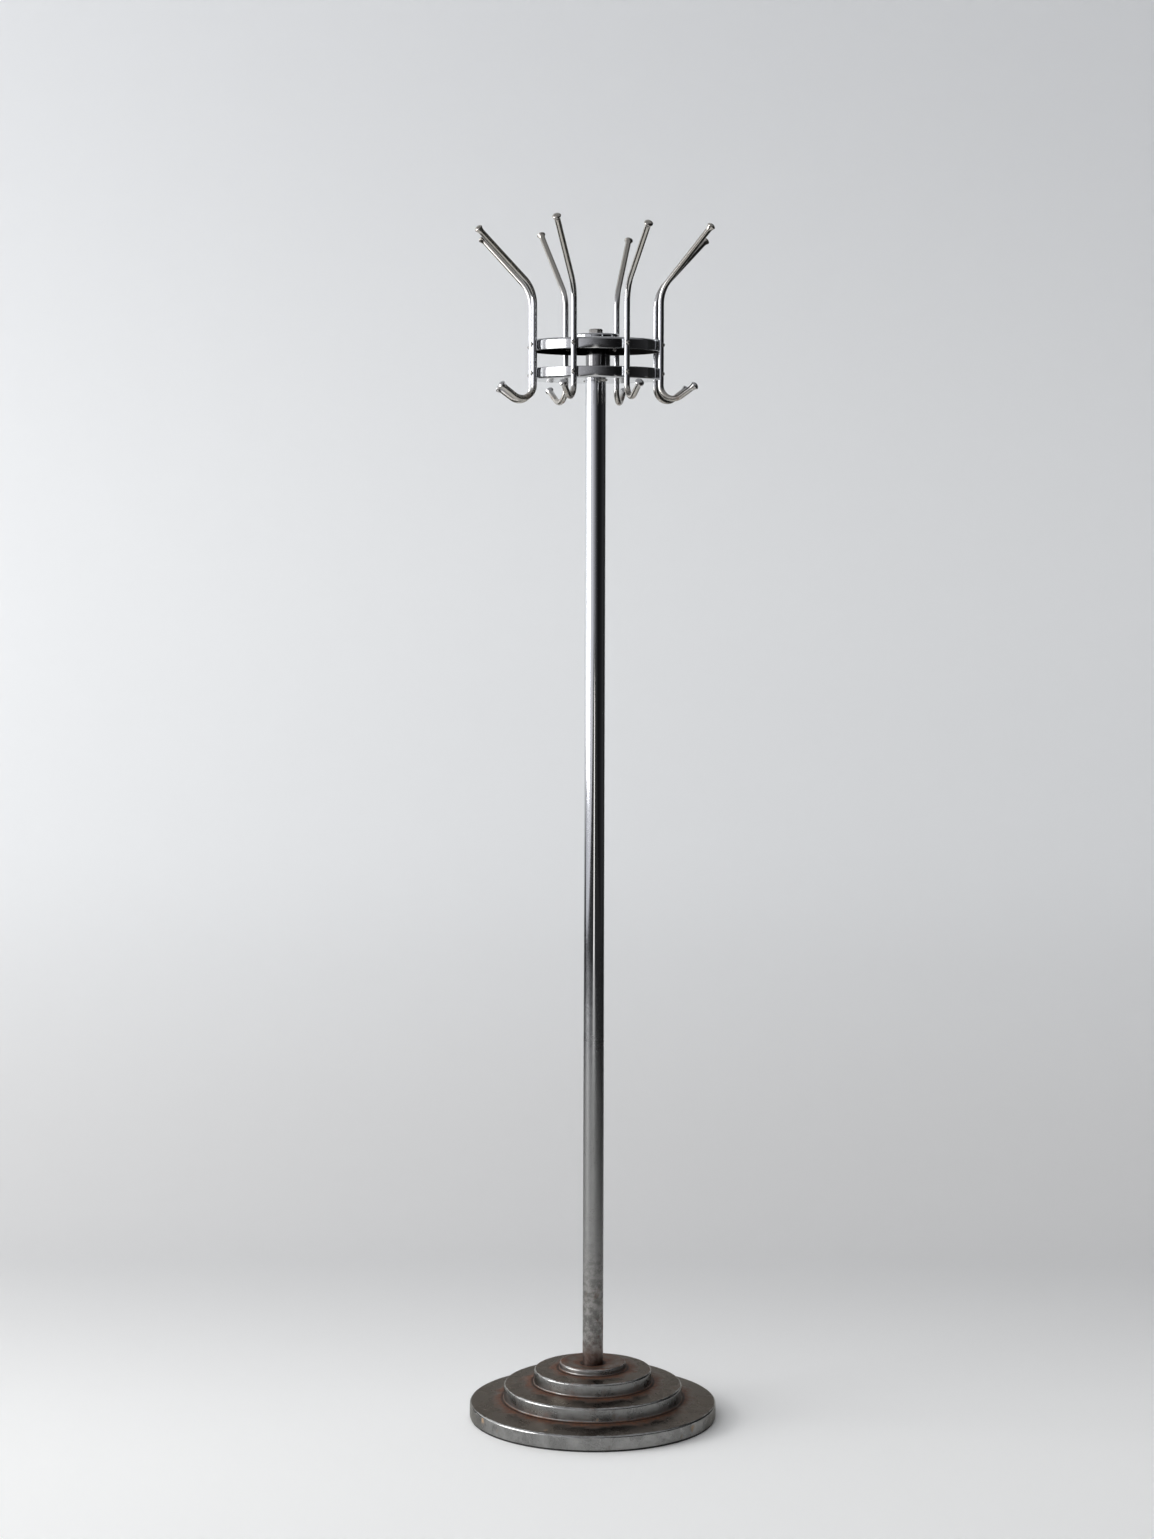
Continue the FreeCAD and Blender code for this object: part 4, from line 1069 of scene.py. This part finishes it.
def screw_surface(sizes, angle):
    """One pan screw, head down: a dome of height d (1 - (r / R)^2) with a slot across it, and a shank."""
    low, high = low_of("pan_screws"), high_of("pan_screws")
    head, dome, slot = sizes.screw_head, sizes.screw_dome, sizes.screw_slot
    seat = low + dome
    share = np.linspace(0.02, 1, 26)
    crown = np.stack([head * share, seat - dome * (1 - share ** 2)], axis=-1)
    shank = rounded_outline([
        (head, seat, 0),
        (sizes.screw_shank, seat, 0),
        (sizes.screw_shank, high, 0),
        (2 * PIN, high, 0),
    ], False, support=0.0002, longest=0.001)
    middle = sizes.screw_circle * np.array([math.cos(angle), math.sin(angle)])
    rings = turned_rings(np.concatenate([crown, shank[1:]]), SCREW_COLUMNS, middle)
    across = (rings[..., :2] - middle) @ np.array([math.cos(SLOT_DIRECTION), math.sin(SLOT_DIRECTION)])
    in_slot = np.clip((slot / 2 - np.abs(across)) / SLOT_EDGE + 0.5, 0, 1)
    floor = low + slot
    sunk = (rings[..., 2] < floor) & (rings[..., 2] < seat - 0.00001)
    rings[..., 2] = np.where(sunk, rings[..., 2] * (1 - in_slot) + floor * in_slot, rings[..., 2])
    return capped_surface(rings, (*middle, floor), (*middle, high))


def rivet_surface(sizes, angle, height):
    """One rivet along the direction of angle: a closed end inside the rim, a shank and a domed head.

    The head is part of a ball of radius (r^2 + d^2) / 2d, for a head of radius r and height d.
    """
    inner = radius_of("lower_pan") - settings().head.pan_sheet
    outer = radius_of("lower_pan") + sizes.rod_gap + 2 * sizes.rod_radius - sizes.rivet_seat
    head, dome, shank = sizes.rivet_head_radius, sizes.rivet_head, sizes.rivet_shank
    closed = inner - head * head / (2 * inner)
    ball = (head * head + dome * dome) / (2 * dome)
    sweep = np.linspace(math.asin(head / ball), 0, 9)[:-1]
    cap = np.stack([ball * np.sin(sweep), outer + dome - ball + ball * np.cos(sweep)], axis=-1)
    outline = rounded_outline([
        (2 * PIN, closed - sizes.rivet_tail, 0),
        (head, closed - sizes.rivet_tail, RIVET_EDGE),
        (head, closed, 0),
        (shank, closed, 0),
        (shank, outer, 0),
        (head, outer, 0),
    ], False, steps=4, support=0.0002, longest=0.002)
    outline = np.concatenate([outline[:-1], cap])
    rings = turned_rings(outline, RIVET_COLUMNS)
    outward = np.array([math.cos(angle), math.sin(angle), 0])
    aside = np.array([-math.sin(angle), math.cos(angle), 0])
    centre = np.array([0, 0, height])

    def place(points):
        """Lay points, whose third part runs outwards, along the rivet."""
        x, y, along = points[..., :1], points[..., 1:2], points[..., 2:]
        return centre + x * aside + y * np.array([0, 0, 1]) + along * outward

    first = np.array([0, 0, closed - sizes.rivet_tail])
    last = np.array([0, 0, outer + dome])
    return capped_surface(place(rings), place(first), place(last))


class RACK_OT_fasteners(bpy.types.Operator):
    """Build the top bolt with its lock washer, the pan screws and the rivets"""
    bl_idname = "rack.fasteners"
    bl_label = "Fasteners"

    def execute(self, context):
        head, rods, slot = context.scene.coat_rack.head, context.scene.coat_rack.rods, "fastener_nickel"
        add_piece("bolt", bolt_surface(head), slot, ["top_bolt"])
        add_piece("lock_washer", washer_surface(head), slot, ["top_lock_washer"])
        screws = [screw_surface(head, head.screw_turn + half * math.pi) for half in (0, 1)]
        add_piece("screws", joined(screws), slot, ["pan_screws"])
        step = 2 * math.pi / len(ROD_BENDS)
        for name in ("lower", "upper"):
            node = f"{name}_rivets"
            rivets = [rivet_surface(rods, step * number, middle_of(node)) for number in range(len(ROD_BENDS))]
            add_piece(f"{name}_rivet_set", joined(rivets), slot, [node])
        return {"FINISHED"}


# ---------------------------------------------------------------- rods

ROD_COLUMNS = 56
ROD_STEP = 0.0016       # between a rod's rings
SEAT_STEP = 0.0004      # between its rings round a rivet
LEAST_STEP = 0.00012    # rings closer than this are left out
SEAT_REACH = 0.0025     # how far the slope round a rivet's seat reaches
SEAT_SLOPE = 1.6        # rise of that slope for its run
SEAT_MARGIN = 1.05      # radius of the seat, as a share of the rivet head's


def tip_radius_at(sizes, distance):
    """A rod's radius at a distance from its crown: a dome, a short land, and a flare into the rod.

    The dome is part of a ball, r = sqrt(R^2 - (R - d)^2). The flare is part of a circle that leaves the
    rod along its side.
    """
    tip, dome, rod = sizes.tip_radius, sizes.tip_dome, sizes.rod_radius
    ball = (tip * tip + dome * dome) / (2 * dome)
    run, spread = sizes.tip_flare - sizes.tip_land, tip - rod
    bend = (spread * spread + run * run) / (2 * spread)
    domed = np.sqrt(np.clip(ball * ball - (ball - distance) ** 2, 0, None))
    up_flare = np.clip(dome + sizes.tip_flare - distance, 0, run)
    flared = rod + bend - np.sqrt(bend * bend - up_flare * up_flare)
    return np.where(distance < dome, domed, flared)


def rod_distances(sizes, total, rivets):
    """Distances along a rod where its rings stand: close together on the tips and round the rivets."""
    ball = (sizes.tip_radius ** 2 + sizes.tip_dome ** 2) / (2 * sizes.tip_dome)
    sweep = np.linspace(0, math.acos(1 - sizes.tip_dome / ball), 9)[1:]
    dome = ball * (1 - np.cos(sweep))
    rest = np.array([0.05, 0.9]) * sizes.tip_land
    flare = sizes.tip_land + np.linspace(0, 1, 9) * (sizes.tip_flare - sizes.tip_land)
    tip = np.concatenate([dome, sizes.tip_dome + rest, sizes.tip_dome + flare])
    near_rivets = [rivet + np.arange(-2 * SEAT_REACH, 2 * SEAT_REACH, SEAT_STEP) for rivet in rivets]
    body = np.arange(tip[-1], total - tip[-1], ROD_STEP)
    distances = np.unique(np.concatenate([tip, total - tip, body, *near_rivets]))
    keep = np.concatenate([[True], np.diff(distances) > LEAST_STEP])
    return distances[keep]


def rod_surface(sizes, number):
    """A rod: a round section whose radius follows the tips, carried along a flat path.

    The path runs from the tail's crown down the tail, round the hook, up the shank, round the elbow and
    along the arm to the other crown. Each rivet's seat is a flat that stops the surface short.
    """
    lean, turn, reach = ROD_BENDS[number]
    lean, turn, reach = math.radians(lean), math.radians(turn), reach * MM
    angle = 2 * math.pi * number / len(ROD_BENDS)
    curl, rise = sizes.hook_round, sizes.tail_rise
    corner = high_of("upper_pan") + sizes.elbow_height
    curl_z = low_of("lower_pan") - sizes.hook_drop + curl
    bend = sizes.elbow_round * math.tan(lean / 2)
    tail, arm = sizes.tail_length + sizes.tip_dome, reach - bend + sizes.tip_dome
    hook_turn = math.pi / 2 + rise
    stretches = [
        (tail, 0),
        (curl * hook_turn, -hook_turn),
        (corner - bend - curl_z, 0),
        (sizes.elbow_round * lean, -lean),
        (arm, 0),
    ]
    start = np.array([curl * (1 + math.sin(rise)), curl_z - curl * math.cos(rise)])
    start = start + tail * np.array([math.cos(rise), math.sin(rise)])
    total = sum(run for run, _ in stretches)
    shank_start = tail + curl * hook_turn
    rivet_heights = [middle_of("lower_rivets"), middle_of("upper_rivets")]
    rivets = [shank_start + height - curl_z for height in rivet_heights]
    distances = rod_distances(sizes, total, rivets)
    path, heading = flat_path(start, math.pi + rise, stretches, distances)
    radius = tip_radius_at(sizes, np.minimum(distances, total - distances))[:, None]

    around = np.linspace(0, 2 * math.pi, ROD_COLUMNS, endpoint=False)
    side = radius * np.cos(around)
    x = path[:, :1] + side * np.sin(heading)[:, None]
    z = path[:, 1:] - side * np.cos(heading)[:, None]
    y = -radius * np.sin(around) + 0 * x
    x = seated(sizes, x, y, z, turn, rivet_heights)
    rings = stand(np.stack([x, y, z], axis=-1), sizes, angle, turn)
    end_x, end_z = flat_path(start, math.pi + rise, stretches, np.array([total]))[0][0]
    ends = stand(np.array([[start[0], 0, start[1]], [end_x, 0, end_z]]), sizes, angle, turn)
    return capped_surface(rings, ends[0], ends[1])


def seated(sizes, x, y, z, turn, rivet_heights):
    """Stop the surface at each rivet's flat seat, with a slope round it."""
    outward = x * math.cos(turn) + y * math.sin(turn)
    aside = y * math.cos(turn) - x * math.sin(turn)
    limit = np.full(x.shape, np.inf)
    for height in rivet_heights:
        away = np.hypot(aside, z - height) - sizes.rivet_head_radius * SEAT_MARGIN
        flat = sizes.rod_radius - sizes.rivet_seat + np.clip(away, 0, None) * SEAT_SLOPE
        limit = np.minimum(limit, np.where(away < SEAT_REACH, flat, np.inf))
    pressed = np.minimum(outward, limit)
    return x + (pressed - outward) * math.cos(turn)


def stand(points, sizes, angle, turn):
    """Turn points by angle and turn, and set them against the pans' rims in the direction of angle."""
    circle = radius_of("lower_pan") + sizes.rod_gap + sizes.rod_radius
    facing = angle + turn
    x, y = points[..., 0], points[..., 1]
    return np.stack([
        circle * math.cos(angle) + x * math.cos(facing) - y * math.sin(facing),
        circle * math.sin(angle) + x * math.sin(facing) + y * math.cos(facing),
        points[..., 2],
    ], axis=-1)


class RACK_OT_rods(bpy.types.Operator):
    """Build the eight bent rods"""
    bl_idname = "rack.rods"
    bl_label = "Rods"

    def execute(self, context):
        sizes = context.scene.coat_rack.rods
        for number in range(len(ROD_BENDS)):
            add_piece(f"rod_{number + 1}", rod_surface(sizes, number), "rod_chrome", [f"hook_{number + 1}"])
        return {"FINISHED"}


# ---------------------------------------------------------------- studio

# Where each light stands and the point it faces, each to the right of, behind and above the pole as
# the camera sees it, and then the light's width and height.
WINDOW = ((-4.4, -1.1, 1.9), (0.0, 0.1, 1.9), 3.4, 2.8)
DOORWAY = ((-0.1, -3.9, 0.42), (0.0, 0.0, 0.6), 0.65, 0.8)
WARM_LIGHT = (1.0, 0.95, 0.88)

# Where the backdrop's points stand: across the stage, ahead on the floor, and up the wall.
ACROSS_STAGE = [-5, -3, -1.5, 0, 1.5, 3, 5.0]
ALONG_FLOOR = [-30, -8, -3, -1, 0]
UP_WALL = [2, 5.0]
COVE_ROWS = 24

# The room that the polished metal reflects: its brightness by direction, in degrees to the right of
# the camera as seen from the pole, with the window's own light left out.
ROOM = [(-180, 0.55), (-125, 0.50), (-55, 0.80), (-36, 0.85), (-24, 0.62), (-12, 0.42), (0, 0.22),
        (10, 0.09), (22, 0.025), (38, 0.008), (60, 0.012), (90, 0.03), (120, 0.06), (180, 0.55)]
CEILING = (0.34, 0.345, 0.36)
FAR_WALL = (0.70, 0.71, 0.72)
ROOM_TINT = 1.06        # how much bluer than grey the room is
LEFT_TINT = (0.99, 1.0, 1.02)
LEFT_SHARE = 1.5        # share of the even light that comes from the left
RIGHT_SHARE = 0.16      # and from the right


def stage_direction(azimuth, across, ahead, height=0.0):
    """A point given to the right of, behind and above the pole, as the camera sees it, in the frame."""
    x = across * math.cos(azimuth) - ahead * math.sin(azimuth)
    y = across * math.sin(azimuth) + ahead * math.cos(azimuth)
    return Vector((x, y, height))


def backdrop_surface(studio):
    """Floor, cove and wall as one strip: a flat run, a quarter circle and an upright run."""
    cove, wall, azimuth = studio.cove, studio.wall_distance, studio.azimuth
    turn = np.linspace(0, math.pi / 2, COVE_ROWS)
    ahead = np.concatenate([ALONG_FLOOR, wall - cove + cove * np.sin(turn), [wall for _ in UP_WALL]])
    height = np.concatenate([[0 for _ in ALONG_FLOOR], cove - cove * np.cos(turn), UP_WALL])
    across = np.array(ACROSS_STAGE)
    x = across * math.cos(azimuth) - ahead[:, None] * math.sin(azimuth)
    y = across * math.sin(azimuth) + ahead[:, None] * math.cos(azimuth)
    points = np.stack([x, y, height[:, None] + 0 * across], axis=-1)
    rows, columns = points.shape[:2]
    index = np.arange(rows * columns).reshape(rows, columns)
    quads = np.stack([index[:-1, :-1], index[:-1, 1:], index[1:, 1:], index[1:, :-1]], axis=-1)
    return points.reshape(-1, 3), quads.reshape(-1, 4).tolist()


def backdrop_finish(studio):
    """Pale paint on the lit side, with painted shade towards the cove and the wall's top, clear from behind,
    and dark in reflections away from the rack.

    In reflections the floor in front, the low left and all of the right are a dim room's.
    """
    material = bpy.data.materials.new("backdrop_paint")
    material.use_nodes = True
    tree = material.node_tree
    tree.nodes.remove(tree.nodes["Principled BSDF"])
    place = tree.nodes.new("ShaderNodeTexCoord").outputs["Object"]
    split = add_node(tree, "ShaderNodeSeparateXYZ", Vector=place).outputs
    path = tree.nodes.new("ShaderNodeLightPath").outputs
    towards = stage_direction(studio.azimuth, 0, -1)
    aside = stage_direction(studio.azimuth, 1, 0)
    near, off = along(tree, place, towards), along(tree, place, aside)
    # Painted shade: the floor darkens away from the camera towards the cove, and the wall darkens towards its
    # top
    ground = blend(tree, fade(tree, near, -1.05, 0.3), studio.cove_shade, studio.floor)
    upright = blend(tree, fade(tree, split["Z"], 1.0, 2.3), studio.wall, studio.shaded_wall_top)
    paint = blend(tree, fade(tree, split["Z"], 0.05, 0.7), ground, upright)
    beside = fade(tree, maths(tree, "ABSOLUTE", off, 0.0), 0.5, 0.7)
    strip = maths(tree, "MULTIPLY", fade(tree, near, 0.5, 1.0), beside)
    left = maths(tree, "MULTIPLY", fade(tree, off, -0.8, -1.2), fade(tree, split["Z"], 0.85, 0.35))
    right = fade(tree, off, 0.5, 1.2)
    outside = maths(tree, "MAXIMUM", maths(tree, "MAXIMUM", strip, left), right)
    dark = maths(tree, "MULTIPLY", outside, path["Is Glossy Ray"])
    shown = blend(tree, maths(tree, "MULTIPLY", dark, 0.95), paint, (0.0, 0.0, 0.0))
    lit = add_node(tree, "ShaderNodeBsdfDiffuse", Color=shown)
    clear = tree.nodes.new("ShaderNodeBsdfTransparent")
    facing = tree.nodes.new("ShaderNodeNewGeometry").outputs["Backfacing"]
    mix = tree.nodes.new("ShaderNodeMixShader")
    tree.links.new(facing, mix.inputs["Fac"])
    tree.links.new(lit.outputs["BSDF"], mix.inputs[1])
    tree.links.new(clear.outputs["BSDF"], mix.inputs[2])
    tree.links.new(mix.outputs["Shader"], tree.nodes["Material Output"].inputs["Surface"])
    return material


def light_room(studio):
    """The world: even light for the paint, a pale wall far off, and the room in reflections."""
    world = bpy.data.worlds.new("room")
    bpy.context.scene.world = world
    world.use_nodes = True
    tree = world.node_tree
    direction = tree.nodes.new("ShaderNodeTexCoord").outputs["Generated"]
    path = tree.nodes.new("ShaderNodeLightPath").outputs
    across = along(tree, direction, stage_direction(studio.azimuth, 1, 0))
    towards = along(tree, direction, stage_direction(studio.azimuth, 0, -1))
    bearing = maths(tree, "ARCTAN2", across, towards)
    turn = maths(tree, "ADD", maths(tree, "DIVIDE", bearing, 2 * math.pi), 0.5)
    ramp = add_node(tree, "ShaderNodeValToRGB", Fac=turn)
    stops = ramp.color_ramp.elements
    while len(stops) < len(ROOM):
        stops.new(0.5)
    for stop, (degrees, brightness) in zip(stops, ROOM):
        stop.position = degrees / 360 + 0.5
        stop.color = (brightness, brightness, brightness * ROOM_TINT, 1)
    up = add_node(tree, "ShaderNodeSeparateXYZ", Vector=direction).outputs["Z"]
    reflected = blend(tree, fade(tree, up, 0.3, 0.75), ramp.outputs["Color"], CEILING)
    left_side = [studio.fill * LEFT_SHARE * part for part in LEFT_TINT]
    right_side = [studio.fill * RIGHT_SHARE] * 3
    even = blend(tree, fade(tree, across, -0.55, 0.55), left_side, right_side)
    soft = blend(tree, path["Is Diffuse Ray"], reflected, even)
    seen = blend(tree, path["Is Camera Ray"], soft, FAR_WALL)
    tree.links.new(seen, tree.nodes["Background"].inputs["Color"])


def add_area_light(name, station, azimuth, power, tint=(1.0, 1.0, 1.0), spills=True):
    """A soft light. One that doesn't spill shows in the metal and leaves the paint alone."""
    place, target, width, height = station
    place, target = stage_direction(azimuth, *place), stage_direction(azimuth, *target)
    light = bpy.data.lights.new(name, "AREA")
    light.shape = "RECTANGLE"
    light.size, light.size_y = width, height
    light.energy = power
    light.color = tint
    lamp = bpy.data.objects.new(name, light)
    lamp.location = place
    lamp.rotation_euler = (target - place).to_track_quat("-Z", "Y").to_euler()
    lamp.visible_camera = False
    lamp.visible_diffuse = spills
    bpy.context.scene.collection.objects.link(lamp)


def add_camera(studio):
    """The camera: its forward direction is yaw and tilt from the pole, and roll turns it about that."""
    yaw, tilt, roll = studio.yaw, studio.tilt, studio.roll
    ahead = Vector((math.sin(yaw) * math.cos(tilt), math.cos(yaw) * math.cos(tilt), -math.sin(tilt)))
    right = Vector((math.cos(yaw), -math.sin(yaw), 0))
    up = right.cross(ahead)
    leaned_right = right * math.cos(roll) + up * math.sin(roll)
    leaned_up = up * math.cos(roll) - right * math.sin(roll)
    turn = Matrix((leaned_right, leaned_up, -ahead)).transposed().to_4x4()
    place = Matrix.Translation((0, -studio.distance, studio.height))
    camera = bpy.data.objects.new("camera", bpy.data.cameras.new("camera"))
    camera.data.lens = studio.lens
    camera.matrix_world = Matrix.Rotation(studio.azimuth, 4, "Z") @ place @ turn
    bpy.context.scene.collection.objects.link(camera)
    bpy.context.scene.camera = camera


class RACK_OT_studio(bpy.types.Operator):
    """Build the floor and wall, the soft light from the left, the room and the camera"""
    bl_idname = "rack.studio"
    bl_label = "Studio"

    def execute(self, context):
        studio = context.scene.coat_rack.studio
        points, faces = backdrop_surface(studio)
        mesh = bpy.data.meshes.new("backdrop")
        mesh.from_pydata(points.tolist(), [], faces)
        mesh.shade_smooth()
        mesh.materials.append(backdrop_finish(studio))
        backdrop = bpy.data.objects.new("backdrop", mesh)
        context.scene.collection.objects.link(backdrop)
        light_room(studio)
        add_area_light("window", WINDOW, studio.azimuth, studio.window_power)
        add_area_light("doorway", DOORWAY, studio.azimuth, studio.doorway_power, WARM_LIGHT, False)
        add_camera(studio)
        context.scene.view_settings.view_transform = "Standard"
        return {"FINISHED"}


# ---------------------------------------------------------------- add-on

class RACK_PT_panel(bpy.types.Panel):
    bl_idname = "RACK_PT_panel"
    bl_label = "Coat Rack"
    bl_space_type = "VIEW_3D"
    bl_region_type = "UI"
    bl_category = "Coat Rack"

    def draw(self, context):
        layout = self.layout
        for operator in OPERATORS:
            layout.operator(operator.bl_idname)
        rack = context.scene.coat_rack
        for group in (rack.foot, rack.head, rack.rods, rack.colours, rack.studio):
            box = layout.box()
            for name in group.__annotations__:
                box.prop(group, name)


OPERATORS = [RACK_OT_studio, RACK_OT_foot, RACK_OT_pole, RACK_OT_head, RACK_OT_fasteners, RACK_OT_rods]
CLASSES = [FootSizes, HeadSizes, RodSizes, MetalColours, StudioSettings, CoatRackSettings,
           *OPERATORS, RACK_PT_panel]


def register():
    for item in CLASSES:
        bpy.utils.register_class(item)
    bpy.types.Scene.coat_rack = PointerProperty(type=CoatRackSettings)


def unregister():
    del bpy.types.Scene.coat_rack
    for item in reversed(CLASSES):
        bpy.utils.unregister_class(item)


def main():
    """Build everything in order."""
    register()
    bpy.ops.rack.studio()
    bpy.ops.rack.foot()
    bpy.ops.rack.pole()
    bpy.ops.rack.head()
    bpy.ops.rack.fasteners()
    bpy.ops.rack.rods()


if __name__ == "__main__":
    main()
